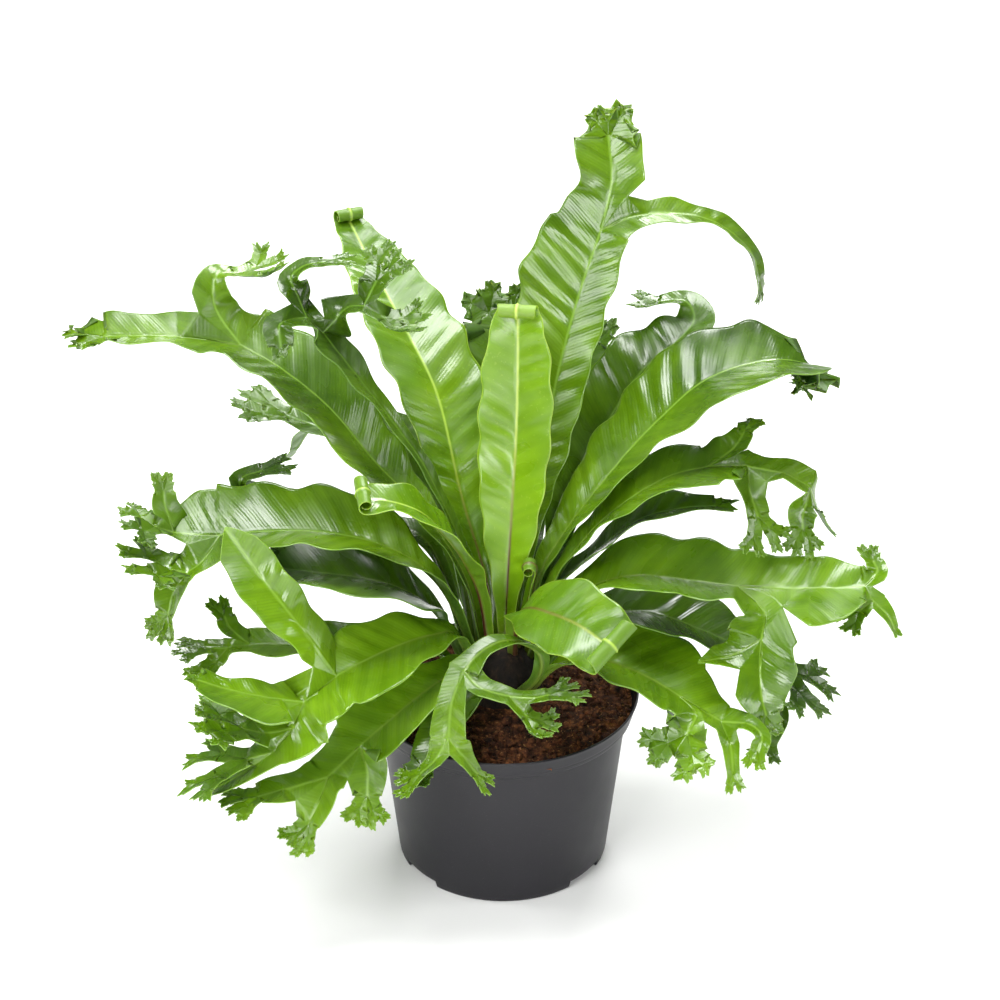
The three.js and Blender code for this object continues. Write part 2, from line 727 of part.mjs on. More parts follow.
    fork: [
      { route: [[-142, 178, 242, 13], [-152, 184, 224, 9]], crest: [2, 12, 32, 10] },
      { route: [[-130, 200, 250, 13], [-135, 218, 234, 9]], crest: [2, 12, 32, 10] },
    ],
  },
  {
    name: "frond_back_low", tone: "grown", ring: 3, at: 84, root: 84, seed: 29, fold: 14,
    route: [[3, 55, 196, 8], [8, 102, 238, 23], [10, 150, 254, 27], [14, 192, 250, 20]],
    fork: [
      { route: [[0, 214, 238, 13], [-6, 226, 218, 9]], crest: [2, 12, 32, 10] },
      { route: [[34, 212, 240, 13], [44, 222, 220, 9]], crest: [2, 12, 32, 10] },
    ],
  },
];

const tones = {
  young: new THREE.MeshStandardMaterial({ color: 0x9cc63e, roughness: 0.35, metalness: 0 }),
  grown: new THREE.MeshStandardMaterial({ color: 0x4f8a2b, roughness: 0.35, metalness: 0 }),
  old: new THREE.MeshStandardMaterial({ color: 0x2f5f1c, roughness: 0.35, metalness: 0 }),
};
const potPlastic = new THREE.MeshStandardMaterial({ color: 0x3d3c41, roughness: 0.55, metalness: 0 });
const soilBrown = new THREE.MeshStandardMaterial({ color: 0x35241a, roughness: 1, metalness: 0 });
const crownBrown = new THREE.MeshStandardMaterial({ color: 0x3b2a1c, roughness: 0.95, metalness: 0 });

// ---- solids for cutting and joining ----
function toManifold(geometry) {
  const g = geometry.clone();
  g.deleteAttribute("normal");
  g.deleteAttribute("uv");
  const merged = BufferGeometryUtils.mergeVertices(g, 1e-4);
  return new wasm.Manifold(
    new wasm.Mesh({
      numProp: 3,
      vertProperties: new Float32Array(merged.attributes.position.array),
      triVerts: new Uint32Array(merged.index.array),
    }),
  );
}

function toGeometry(solid) {
  const mesh = solid.getMesh();
  const geometry = new THREE.BufferGeometry();
  geometry.setAttribute("position", new THREE.BufferAttribute(new Float32Array(mesh.vertProperties), 3));
  geometry.setIndex(new THREE.BufferAttribute(new Uint32Array(mesh.triVerts), 1));
  return geometry;
}

// A lathe about +Z from [radius, height] pairs that start and end on the axis.
function turned(profile, sides = potSides) {
  const points = profile.map(([r, z]) => new THREE.Vector2(r, z));
  const geometry = new THREE.LatheGeometry(points, sides);
  geometry.rotateX(Math.PI / 2);
  return geometry;
}

function bar(from, to, width, low, high, angle) {
  const geometry = new THREE.BoxGeometry(to - from, width, high - low);
  geometry.translate((from + to) / 2, 0, (low + high) / 2);
  geometry.rotateZ(radians(angle));
  return toManifold(geometry);
}

// ---- pot ----
const bandFoot = potHeight - bandHeight;
const channelAngles = [-38, -142, 38, 142];
const channelWidth = 32;
const channelStart = 30;
const channelEnd = 100;
const lipWall = 1.6;
const holeRadius = 6;
const holeX = 55;
const holeZ = 8;
const outerProfile = [
  [0, 0],
  [baseRadius - 1, 0],
  [baseRadius, 1.2],
  [bodyTopRadius, bandFoot - 2],
  [bandBottomRadius - 0.4, bandFoot],
  [bandBottomRadius, bandFoot + 1],
  [rimRadius, potHeight - 0.8],
  [rimRadius - 0.5, potHeight],
];
const slope = (bodyTopRadius - baseRadius) / (bandFoot - 3.2);
const innerProfile = [
  [rimRadius - lipWall, potHeight],
  [bandBottomRadius - potWall, bandFoot + 1.5],
  [bodyTopRadius - potWall, bandFoot - 1.5],
  [baseRadius - potWall, floorThick],
  [0, floorThick],
];
function makePot() {
  let pot = toManifold(turned([...outerProfile, ...innerProfile]));
  const filled = toManifold(turned([...outerProfile, [0, potHeight]]));
  for (const angle of channelAngles) {
    const wide = channelWidth + 2 * potWall;
    const cover = bar(channelStart - floorThick, channelEnd, wide, 0.5, channelHeight + floorThick, angle);
    pot = pot.add(cover.intersect(filled));
  }
  for (const angle of channelAngles) {
    pot = pot.subtract(bar(channelStart, channelEnd, channelWidth, -5, channelHeight, angle));
    const hole = new THREE.CylinderGeometry(holeRadius, holeRadius, 20, 12);
    hole.rotateX(Math.PI / 2);
    hole.translate(holeX, 0, holeZ);
    hole.rotateZ(radians(angle));
    pot = pot.subtract(toManifold(hole));
  }
  return toGeometry(pot);
}

// ---- soil ----
const lumpHeight = 0.9;
function makeSoil() {
  const wall = (z) => {
    if (z > bandFoot + 1.5) {
      const t = (z - bandFoot - 1.5) / (potHeight - bandFoot - 1.5);
      return bandBottomRadius - potWall + (rimRadius - lipWall - bandBottomRadius + potWall) * t;
    }
    return baseRadius - potWall + slope * (z - floorThick);
  };
  const profile = [
    [0, floorThick + soilGap],
    [baseRadius - potWall - soilGap, floorThick + soilGap],
    [bodyTopRadius - potWall - soilGap - 0.2, bandFoot - 1.7],
    [bandBottomRadius - potWall - soilGap - 0.2, bandFoot + 1.7],
    [wall(soilEdgeZ) - soilGap - 0.2, soilEdgeZ],
    [76, soilEdgeZ + 2],
    [60, soilEdgeZ + 4],
    [44, soilEdgeZ + 6],
    [crownRadius + 0.5, soilMiddleZ],
    [crownRadius + 0.5, crownFootZ - soilGap],
    [0, crownFootZ - soilGap],
  ];
  const geometry = turned(profile);
  const p = geometry.attributes.position;
  for (let i = 0; i < p.count; i += 1) {
    const x = p.getX(i);
    const y = p.getY(i);
    const r = Math.hypot(x, y);
    if (p.getZ(i) > soilEdgeZ + 0.5 && r > crownRadius + 2) {
      const broad = Math.sin(x * 0.21 + y * 0.13) + Math.sin(y * 0.27 - x * 0.11);
      const fine = Math.sin(x * 0.5) * Math.sin(y * 0.45);
      p.setZ(i, p.getZ(i) + (broad + fine) * lumpHeight);
    }
  }
  let soil = toManifold(geometry);
  const start = channelStart - floorThick - soilGap;
  const wide = channelWidth + 2 * (potWall + soilGap);
  const high = channelHeight + floorThick + soilGap;
  for (const angle of channelAngles) soil = soil.subtract(bar(start, channelEnd, wide, -5, high, angle));
  return toGeometry(soil);
}

// ---- crown, with a socket round the foot of each frond ----
function makeCrown() {
  const geometry = turned([
    [0, crownFootZ],
    [crownRadius, crownFootZ],
    [crownRadius, soilMiddleZ],
    [crownRadius, soilMiddleZ + 10],
    [crownRadius - 4, soilMiddleZ + 21],
    [crownRadius - 12, crownTopZ - 5],
    [0, crownTopZ],
  ], crownSides);
  const p = geometry.attributes.position;
  for (let i = 0; i < p.count; i += 1) {
    const x = p.getX(i);
    const y = p.getY(i);
    const r = Math.hypot(x, y);
    if (p.getZ(i) > soilMiddleZ + 5 && r > 1) {
      const lump = 1 + 0.05 * Math.sin(7 * Math.atan2(y, x)) + 0.04 * Math.sin(3 * Math.atan2(y, x) + 1);
      p.setX(i, x * lump);
      p.setY(i, y * lump);
    }
  }
  let crown = toManifold(geometry);
  for (const spec of frondTable) crown = crown.subtract(toManifold(thickenSheet(growFrond(spec, socketGap))));
  return toGeometry(crown);
}

const fern = new THREE.Group();
fern.name = "potted_fern";
function place(name, geometry, material) {
  geometry.computeVertexNormals();
  const mesh = new THREE.Mesh(geometry, material.clone());
  mesh.name = name;
  fern.add(mesh);
}

place("pot", makePot(), potPlastic);
place("soil", makeSoil(), soilBrown);
place("crown", makeCrown(), crownBrown);
for (const spec of frondTable) place(spec.name, thickenSheet(growFrond(spec)), tones[spec.tone]);

export default fern;
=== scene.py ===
import bpy
import numpy as np
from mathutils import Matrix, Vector


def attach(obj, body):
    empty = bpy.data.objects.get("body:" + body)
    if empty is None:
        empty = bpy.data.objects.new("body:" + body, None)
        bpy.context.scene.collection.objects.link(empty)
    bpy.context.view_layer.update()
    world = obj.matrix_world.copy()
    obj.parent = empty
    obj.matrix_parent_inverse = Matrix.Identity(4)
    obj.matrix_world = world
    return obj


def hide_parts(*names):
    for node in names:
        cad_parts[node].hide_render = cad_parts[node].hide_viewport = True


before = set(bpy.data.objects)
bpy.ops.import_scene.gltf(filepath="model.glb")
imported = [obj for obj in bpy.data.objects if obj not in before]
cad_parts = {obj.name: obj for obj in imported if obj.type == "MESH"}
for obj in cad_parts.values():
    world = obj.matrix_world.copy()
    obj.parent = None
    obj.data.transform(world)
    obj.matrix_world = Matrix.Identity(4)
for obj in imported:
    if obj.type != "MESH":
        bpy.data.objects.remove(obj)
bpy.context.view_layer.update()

# Potted crested fern. Shapes are worked out in millimetres and laid down in metres,
# in the frame of the solids: +Z up, the origin in the middle of the pot's base.

mm = 0.001


cameraView = {
    "distance": 2000.0,  # mm from the origin to the camera
    "elevation": 35.73,  # degrees above the floor
    "pitch": 28.68,  # degrees that the camera looks down
    "aside": -2.1,  # mm to the left of the pot's axis
    "film": 36.0,  # mm
    "focal": 99.0,  # mm
}


def addObject(name, data):
    thing = bpy.data.objects.new(name, data)
    bpy.context.scene.collection.objects.link(thing)
    return thing


def placeCamera(view):
    # The camera stands behind -Y at the given distance and elevation, and is pitched down.
    lift = np.radians(view["elevation"])
    data = bpy.data.cameras.new("photoCamera")
    data.lens = view["focal"]
    data.sensor_width = view["film"]
    data.clip_end = 50.0
    camera = addObject("photoCamera", data)
    reach = view["distance"] * mm
    camera.location = (view["aside"] * mm, -reach * np.cos(lift), reach * np.sin(lift))
    camera.rotation_euler = (np.radians(90.0 - view["pitch"]), 0.0, 0.0)
    bpy.context.scene.camera = camera


studio = {
    "floorHalf": 9.0,  # m
    "floorColour": (0.97, 0.97, 0.97, 1.0),
    "floorRough": 0.9,
    "world": 0.11,
    "lamps": [
        # name, place, aimed at, width, height, brightness of its face
        ("wideTop", (0.0, 0.6, 3.4), (0.0, 0.6, 0.0), 4.4, 4.4, 0.7),
        ("skyPanel", (-0.15, 0.3, 2.7), (0.0, 0.0, 0.2), 1.35, 1.0, 15.0),
        ("backPanel", (0.3, 1.8, 2.0), (0.0, 0.0, 0.25), 1.1, 0.6, 16.0),
        ("frontTop", (-1.2, -1.8, 2.3), (0.0, 0.0, 0.2), 1.5, 1.0, 10.0),
        ("frontPanel", (0.1, -2.3, 0.6), (0.0, 0.0, 0.3), 0.9, 0.8, 11.0),
        ("leftPanel", (-2.2, 0.2, 1.1), (0.0, 0.0, 0.15), 0.6, 1.5, 8.0),
        ("rightPanel", (2.2, 0.0, 1.1), (0.0, 0.0, 0.2), 0.6, 1.5, 6.0),
    ],
}


def newMaterial(name):
    material = bpy.data.materials.new(name)
    material.use_nodes = True
    return material, material.node_tree, material.node_tree.nodes["Principled BSDF"]


def buildStudio(setup):
    # The floor is one flat square; each lamp is a rectangle that faces its target.
    # Watts of a lamp = pi by its area by the brightness of its face.
    half = setup["floorHalf"]
    mesh = bpy.data.meshes.new("studioFloor")
    mesh.from_pydata([(-half, -half, 0), (half, -half, 0), (half, half, 0), (-half, half, 0)], [], [(0, 1, 2, 3)])
    material, tree, shader = newMaterial("paleFloor")
    shader.inputs["Base Color"].default_value = setup["floorColour"]
    shader.inputs["Roughness"].default_value = setup["floorRough"]
    mesh.materials.append(material)
    addObject("studioFloor", mesh)
    for name, place, target, width, height, bright in setup["lamps"]:
        data = bpy.data.lights.new(name, "AREA")
        data.shape = "RECTANGLE"
        data.size = width
        data.size_y = height
        data.energy = np.pi * width * height * bright
        lamp = addObject(name, data)
        lamp.location = place
        lamp.rotation_euler = (Vector(target) - Vector(place)).to_track_quat("-Z", "Y").to_euler()
    world = bpy.data.worlds.new("studioWorld")
    world.use_nodes = True
    sky = world.node_tree.nodes["Background"]
    sky.inputs["Color"].default_value = (1.0, 1.0, 1.0, 1.0)
    sky.inputs["Strength"].default_value = setup["world"]
    bpy.context.scene.world = world


placeCamera(cameraView)
buildStudio(studio)
bpy.context.scene.view_settings.view_transform = "Standard"
print("camera, floor and lamps are set")


def layMesh(name, points, faces, smooth=True, values={}):
    # points: n by 3 in mm; faces: m by 3 vertex numbers; values: one number per vertex by name.
    mesh = bpy.data.meshes.new(name)
    count, sides = faces.shape
    mesh.vertices.add(len(points))
    mesh.vertices.foreach_set("co", np.ascontiguousarray(points * mm, dtype=np.float32).ravel())
    mesh.loops.add(count * sides)
    mesh.loops.foreach_set("vertex_index", faces.astype(np.int32).ravel())
    mesh.polygons.add(count)
    mesh.polygons.foreach_set("loop_start", np.arange(0, count * sides, sides, dtype=np.int32))
    mesh.polygons.foreach_set("use_smooth", np.full(count, smooth, dtype=bool))
    for key, numbers in values.items():
        layer = mesh.attributes.new(key, "FLOAT", "POINT")
        layer.data.foreach_set("value", np.ascontiguousarray(numbers, dtype=np.float32))
    mesh.update()
    mesh.validate()
    return addObject(name, mesh)


def settle(piece, node, slot, material):
    piece.data.materials.append(material)
    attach(piece, "root")
    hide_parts(node)


def unit(a):
    return a / np.maximum(np.linalg.norm(a, axis=-1, keepdims=True), 1e-12)


def turn(a, axis, angle):
    # Turn vectors a about unit axes by angles in radians.
    c = np.cos(angle)[..., None]
    s = np.sin(angle)[..., None]
    return a * c + np.cross(axis, a) * s + axis * np.sum(axis * a, -1, keepdims=True) * (1 - c)


def ease(t):
    u = np.clip(t, 0.0, 1.0)
    return u * u * (3 - 2 * u)


def draw(i):
    # A repeatable number in 0..1 for a whole number.
    v = np.sin(i * 12.9898 + 4.1414) * 43758.5453
    return v - np.floor(v)


habit = {
    # What all fronds share, in mm where nothing else is said.
    "bladeThick": 0.8,
    "stalkExtra": 1.4,  # thickness added at the foot
    "rowStep": 2.2,
    "fingerStep": 1.6,
    "waveLength": 42.0,
    "waveHeight": 1.6,
    "edgeSwell": 0.04,  # part by which the half width swells and shrinks
    "swellLength": 31.0,
    "fingerShare": 0.3,  # half width of a crest's finger against its parent's width
    "fanWiden": 1.2,
    "forkNarrow": 0.9,  # half width at the start of a branch against its parent's
    "pointTaper": 16.0,
    "rollSides": 26,  # rows in one turn of a rolled tip
    "rollShrink": 1.6,  # by which the roll's radius shrinks in one turn
    "pleatLength": 16.0,  # from one cross pleat to the next
    "pleatHeight": 0.8,
    "pleatSlant": 0.5,  # mm along the rib for each mm away from it
    "frillLength": 19.0,
    "frillHeight": 0.2,
    "ribHeight": 0.9,
    "ribFade": 9.0,  # mm of crest over which the rib sinks away
    "skewShare": 0.8,  # of a branch's first stretch, with rows that lean as its parent's do
    "shoulderShare": 0.6,  # part of a finger over which it leaves its parent's edge
    "toothShare": 0.5,  # part of a crest's tip that is cut into teeth
    "across": [0.0, 0.06, 0.15, 0.28, 0.42, 0.56, 0.7, 0.83, 0.94, 1.0],
}
crownRings = [(9.0, 156.0), (16.5, 147.0), (23.0, 136.0)]  # radius and height of the three rings of roots
columns = np.array(habit["across"][:0:-1] + [-v for v in habit["across"]])
middle = len(habit["across"]) - 1


def smoothRoute(given, step):
    # A Catmull-Rom curve through stations [x, y, z, left half, right half], sampled at even lengths.
    st = np.array([[*q, q[3]] if len(q) < 5 else q for q in given], dtype=float)
    wide = np.vstack([2 * st[0] - st[1], st, 2 * st[-1] - st[-2]])
    p0, p1, p2, p3 = wide[:-3], wide[1:-2], wide[2:-1], wide[3:]
    t = (np.arange(48) / 48.0)[:, None, None]
    bend = (2 * p0 - 5 * p1 + 4 * p2 - p3) * t**2 + (3 * p1 - p0 - 3 * p2 + p3) * t**3
    curve = 0.5 * (2 * p1 + (p2 - p0) * t + bend)
    dense = np.vstack([curve.transpose(1, 0, 2).reshape(-1, 5), st[-1:]])
    along = np.concatenate([[0.0], np.cumsum(np.linalg.norm(np.diff(dense[:, :3], axis=0), axis=1))])
    total = along[-1]
    s = np.linspace(0.0, total, max(3, int(round(total / step))) + 1)
    value = np.stack([np.interp(s, along, part) for part in dense.T], 1)
    return value[:, :3], value[:, 3], value[:, 4], s, total


def bladeRows(route, parent, roll, look, startAlong):
    # Rows of a blade: the side vector is level across the way it grows, then turned by the roll.
    # A branch takes over its parent's side vector and eases out of it.
    at, left, right, s, total = smoothRoute(route, habit["rowStep"])
    go = unit(np.gradient(at, axis=0))
    away = unit((at[-1] - at[0]) * [1, 1, 0]) if look is None else np.array([np.cos(look), np.sin(look), 0.0])
    flat = unit((go + away * 0.4) * [1, 1, 0])
    side = np.cross([0.0, 0.0, 1.0], flat)
    side = unit(side - go * np.sum(side * go, 1, keepdims=True))
    first = -roll
    if parent is not None:
        share = np.dot(parent["side"], go[0]) / (1 + np.dot(parent["go"], go[0]))
        carried = parent["side"] - (parent["go"] + go[0]) * share
        first = np.arctan2(np.dot(np.cross(side[0], carried), go[0]), np.dot(side[0], carried)) - roll
        first = (first + np.pi) % (2 * np.pi) - np.pi
    angle = roll + first * (1 - ease(s / max(0.7 * total, 20.0)))
    side = turn(side, go, angle)
    if parent is not None:
        # A branch starts with its cross rows parallel to its parent's, so that their edges run on.
        reach = min(habit["skewShare"] * total, (parent["left"] + parent["right"]) / 2)
        skew = ((1 - ease(s / reach)) * max(0.0, float(np.dot(parent["go"], go[0]))))[:, None]
        side = unit(side * (1 - skew) + parent["side"] * skew)
    return {"at": at, "go": go, "side": side, "up": unit(np.cross(go, side)), "left": left, "right": right,
            "along": startAlong + s, "flat": np.zeros(len(s)), "crest": np.zeros(len(s))}


def lastRow(rows):
    return {key: value[-1] for key, value in rows.items()}


def rolledRows(rows, turns, wide):
    # The tip rolls over to the upper face like a watch spring, its radius shrinking as it goes.
    end = lastRow(rows)
    count = int(round(turns * habit["rollSides"]))
    step = 2 * np.pi * turns / count
    k = np.arange(1, count + 1)
    t = k / count
    radius = wide - habit["rollShrink"] * turns * t
    side = np.tile(end["side"], (count, 1))
    go = turn(end["go"], side, -step * k)
    chord = turn(end["go"], side, -step * (k - 0.5))
    at = end["at"] + np.cumsum(chord * (2 * radius * np.sin(step / 2))[:, None], 0)
    tail = {"at": at, "go": go, "side": side, "up": np.cross(go, side), "left": end["left"] * (1 - 0.25 * t),
            "right": end["right"] * (1 - 0.25 * t), "along": end["along"] + np.cumsum(radius * step),
            "flat": np.ones(count), "crest": np.zeros(count)}
    rows["flat"] = ease((rows["along"] - rows["along"][-1] + 18.0) / 18.0)
    return {key: np.concatenate([rows[key], tail[key]]) for key in rows}


def fingerRows(parent, hand, yaw, curl, length, half, endHalf, isTip):
    # A short finger of a crest leaves its parent at an angle and bends by the curl along its length.
    # Its outer edge, on the left for hand 1, eases out of the parent's edge.
    count = max(4, int(round(length / habit["fingerStep"])))
    t = np.arange(count + 1) / count
    start = turn(parent["go"], parent["up"], np.array(yaw))
    side = np.tile(turn(parent["side"], parent["up"], np.array(yaw)), (count + 1, 1))
    go = turn(start, side, -curl * t)
    chord = turn(start, side, -curl * (t - 0.5 / count))[1:]
    at = parent["at"] + np.vstack([np.zeros(3), np.cumsum(chord * (length / count), 0)])
    width = half + (endHalf - half) * t
    if isTip:
        width = half * np.clip(1 - t, 0, 1) ** 0.75 * (1 + 0.15 * np.sin(np.pi * t))
    outer = np.maximum(0.0, parent["left" if hand > 0 else "right"] - half) * (1 - ease(t / habit["shoulderShare"]))
    return {"at": at, "go": go, "side": side, "up": np.cross(go, side), "left": width + outer * (hand > 0),
            "right": width + outer * (hand < 0), "along": parent["along"] + length * t, "flat": np.zeros(count + 1),
            "crest": np.minimum(1.0, parent["crest"] + length * t / habit["ribFade"])}


def spreadRow(frond, rows):
    # Lift = fold of the blade + edge wave + cross pleats + fine edge frill, all along the upward normal.
    v = columns[None, :]
    s = rows["along"][:, None]
    bent = 1 - rows["flat"][:, None]
    near = np.exp(-s / 45.0)
    phase = frond["phase"]
    fold = np.radians(frond["fold"] + 25 * near) * bent
    swell = 1 + habit["edgeSwell"] * np.sin(2 * np.pi * s / habit["swellLength"] + phase * 2 + np.sign(v)) * bent
    half = np.where(v > 0, rows["left"][:, None], rows["right"][:, None]) * swell
    u = half * np.abs(v)
    rise = np.sin(2 * np.pi * s / habit["waveLength"] + phase + np.where(v > 0, 0.0, 2.1))
    reach = np.minimum(1, half / 18.0) * bent * (1 - near)
    wander = 0.9 * np.sin(s / 19.0 + phase) + 0.6 * np.sin(s / 7.3 + 2 * phase)
    pleat = np.sin(2 * np.pi * (s - habit["pleatSlant"] * u) / habit["pleatLength"] + 1.6 * wander)
    pleat = pleat * (0.55 + 0.45 * np.sin(s / 23.0 + 4 * phase + np.sign(v)))
    band = np.clip(u / 5.0, 0, 1) * np.clip((half - u) / 6.0, 0.12, 1) * np.minimum(1, half / 14.0)
    frill = np.sin(2 * np.pi * s / habit["frillLength"] + 3 * phase + np.where(v > 0, 0.0, 1.3))
    lift = u * np.sin(fold) + habit["waveHeight"] * rise * v * v * reach
    lift = lift + habit["pleatHeight"] * pleat * band * bent * (1 - near)
    lift = lift + habit["frillHeight"] * frill * np.abs(v) ** 5 * reach
    out = np.sign(v) * u * np.cos(fold)
    points = rows["at"][:, None] + rows["side"][:, None] * out[..., None] + rows["up"][:, None] * lift[..., None]
    return points, u, half - u


def addRows(frond, points, fromRib, toEdge, along):
    # Store a block of vertices and give back their numbers.
    shape = points.shape[:-1]
    base = sum(len(block) for block in frond["points"])
    frond["points"].append(points.reshape(-1, 3))
    for key, value in (("fromRib", fromRib), ("toEdge", toEdge), ("along", along)):
        frond[key].append(np.broadcast_to(value, shape).reshape(-1))
    return base + np.arange(points.size // 3).reshape(shape)


def layBlade(frond, rows, ids, inner, welds, ending):
    # Lay the rows after the first, joined to the vertex row ids; welds are shared with the twin branch.
    body = {key: value[1:] for key, value in rows.items()}
    points, u, toEdge = spreadRow(frond, body)
    n = min(len(welds["at"]), len(points)) if welds else 0
    if n:
        hit = columns * inner > 0
        share = np.abs(columns[hit])[None, :, None]
        points[:n, hit] = body["at"][:n, None] * (1 - share) + welds["at"][:n, None] * share
        u[:n, hit] = welds["gap"][:n, None] * share[..., 0]
        toEdge[:n, hit] = 20.0
    new = addRows(frond, points, u + 4.0 * body["crest"][:, None], toEdge, body["along"][:, None])
    if n:
        new[:n, 0 if inner > 0 else -1] = welds["ids"][:n]
    if ending == "point":
        new[-1, :] = new[-1, middle]
    grid = np.vstack([ids[None], new])
    a, b, c, d = [part.reshape(-1) for part in (grid[:-1, :-1], grid[:-1, 1:], grid[1:, :-1], grid[1:, 1:])]
    tri = np.concatenate([np.stack([a, b, c], 1), np.stack([b, d, c], 1)])
    frond["faces"].append(tri[(tri != np.roll(tri, 1, 1)).all(1)])
    return new[-1]


def forkWelds(frond, left, right):
    # Twin branches share the points halfway between their ribs until they have parted.
    n = min(len(left["at"]), len(right["at"])) - 1
    gap = np.linalg.norm(left["at"][1:n] - right["at"][1:n], axis=1) / 2
    apart = gap > 0.48 * (left["right"][1:n] + right["left"][1:n])
    count = int(np.argmax(apart)) if apart.any() else max(n - 1, 0)
    gap = gap[:count]
    near = slice(1, count + 1)
    up = unit(left["up"][near] + right["up"][near])
    at = (left["at"][near] + right["at"][near]) / 2 + up * (gap * 0.35)[:, None]
    ids = addRows(frond, at, gap + 4.0 * left["crest"][near], 20.0, left["along"][near])
    return {"at": at, "gap": gap, "ids": ids}


def layTwins(frond, twins, ids, endings):
    # Lay both branches of a fork, one after the other; each starts on its own half of the vertex row ids.
    welds = forkWelds(frond, *twins)
    for i, rows in enumerate(twins):
        keep = np.arange(len(ids)) <= middle if i == 0 else np.arange(len(ids)) >= middle
        yield lastRow(rows), layBlade(frond, rows, np.where(keep, ids, ids[middle]), (-1, 1)[i], welds, endings[i])


def growCrest(frond, parent, ids, depth, length, spread, curl):
    # Two fingers, each with two of its own until the depth is used up, and then with two teeth.
    twins = []
    for hand in (1, -1):
        frond["fingers"] += 1
        a = draw(frond["seed"] * 31 + frond["fingers"])
        b = draw(frond["seed"] * 57 + frond["fingers"] * 3)
        half = max(2.2, (parent["left"] + parent["right"]) * habit["fingerShare"])
        yaw = hand * spread * (0.8 + 0.4 * b)
        reach = length * (0.92 + 0.5 * a)
        if depth == 1:
            reach = reach * (1 - habit["toothShare"])
        endHalf = half * (0.95 if depth == 1 else habit["fanWiden"])
        twins.append(fingerRows(parent, hand, yaw, curl * (0.6 + 0.8 * b), reach, half, endHalf, False))
    for end, last in layTwins(frond, twins, ids, ("open", "open")):
        if depth > 1:
            growCrest(frond, end, last, depth - 1, length * 0.8, spread, curl)
        else:
            cutTeeth(frond, end, last, length * 1.05 * habit["toothShare"], spread)


def cutTeeth(frond, parent, ids, length, spread):
    # Two pointed teeth at the end of each finger, of uneven length and lean.
    twins = []
    for hand in (1, -1):
        frond["teeth"] += 1
        a = draw(frond["seed"] * 17 + frond["teeth"] * 5)
        b = draw(frond["seed"] * 23 + frond["teeth"] * 7)
        half = max(1.2, (parent["left"] + parent["right"]) * 0.31)
        yaw = hand * spread * (0.45 + 0.5 * b)
        reach = max(3.0, length * (0.55 + 0.9 * a))
        twins.append(fingerRows(parent, hand, yaw, 0.5 * (b - 0.4), reach, half, half, True))
    list(layTwins(frond, twins, ids, ("point", "point")))


def finishBlade(frond, spec, end, ids):
    # Grow what the table says on the blade's last row: two branches, a crest or nothing.
    if "fork" in spec:
        start = [*end["at"], end["left"] * habit["forkNarrow"], end["right"] * habit["forkNarrow"]]
        twins, endings = [], [child.get("end", "open") for child in spec["fork"]]
        for child, ending in zip(spec["fork"], endings):
            roll = np.radians(child.get("roll", 0.0))
            rows = bladeRows([start] + child["route"], end, roll, None, end["along"])
            if ending == "point":
                taper = np.clip((rows["along"][-1] - rows["along"]) / habit["pointTaper"], 0, 1) ** 0.7
                rows["left"] = rows["left"] * taper
                rows["right"] = rows["right"] * taper
            twins.append(rows)
        for child, (tip, last) in zip(spec["fork"], layTwins(frond, twins, ids, endings)):
            finishBlade(frond, child, tip, last)
    elif "crest" in spec:
        depth, length, spread, curl = spec["crest"]
        growCrest(frond, end, ids, depth, length, np.radians(spread), np.radians(curl))


def growSheet(spec):
    # The frond as one sheet of triangles, with each vertex's distances from the foot, the rib and the edge.
    parts = ("points", "fromRib", "toEdge", "along", "faces")
    frond = {key: [] for key in parts}
    frond.update(fingers=0, teeth=0, seed=spec["seed"], phase=spec["seed"] * 1.7, fold=spec["fold"])
    radius, height = crownRings[spec["ring"] - 1]
    a = np.radians(spec["root"])
    root = [radius * np.cos(a), radius * np.sin(a), height, 3.8]
    roll, look = np.radians(spec.get("roll", 0.0)), np.radians(spec["at"])
    rows = bladeRows([root] + spec["route"], None, roll, look, 0.0)
    if "tipRoll" in spec:
        rows = rolledRows(rows, *spec["tipRoll"])
    ids = addRows(frond, *spreadRow(frond, {key: value[:1] for key, value in rows.items()}), 0.0)[0]
    finishBlade(frond, spec, lastRow(rows), layBlade(frond, rows, ids, 0, None, "open"))
    return [np.concatenate(frond[key]) for key in parts]


def thickenSheet(points, fromRib, toEdge, along, faces):
    # Each vertex moves half the thickness up and down its normal; a band of triangles closes the edge.
    used, faces = np.unique(faces, return_inverse=True)
    faces = faces.reshape(-1, 3)
    points, u, s, e = points[used], fromRib[used], along[used], toEdge[used]
    a, b, c = [points[faces[:, k]] for k in range(3)]
    normal = np.cross(b - a, c - a)
    total = np.zeros_like(points)
    for k in range(3):
        np.add.at(total, faces[:, k], normal)
    total = unit(total)
    base = habit["bladeThick"] * (0.7 + 0.3 * np.clip(e / 3.0, 0, 1)) + habit["stalkExtra"] * np.exp(-s / 22.0)
    ribWide = 0.9 + 0.9 * np.exp(-s / 60.0)
    rib = habit["ribHeight"] * (1 + 1.4 * np.exp(-s / 45.0)) * np.exp(-((u / ribWide) ** 2))
    top = points + total * (base / 2 + rib * 0.45)[:, None]
    under = points - total * (base / 2 + rib)[:, None]
    n = len(points)
    edges = np.concatenate([faces[:, [0, 1]], faces[:, [1, 2]], faces[:, [2, 0]]])
    rim = edges[~np.isin(edges[:, 0] * n + edges[:, 1], edges[:, 1] * n + edges[:, 0])]
    a, b = rim.T
    faces = np.concatenate([faces, faces[:, ::-1] + n, np.stack([b, a, a + n], 1), np.stack([b, a + n, b + n], 1)])
    values = {"fromRib": np.tile(u, 2), "alongRib": np.tile(s, 2), "toEdge": np.tile(e, 2),
              "isUnder": np.repeat([0.0, 1.0], n)}
    return np.concatenate([top, under]), faces, values


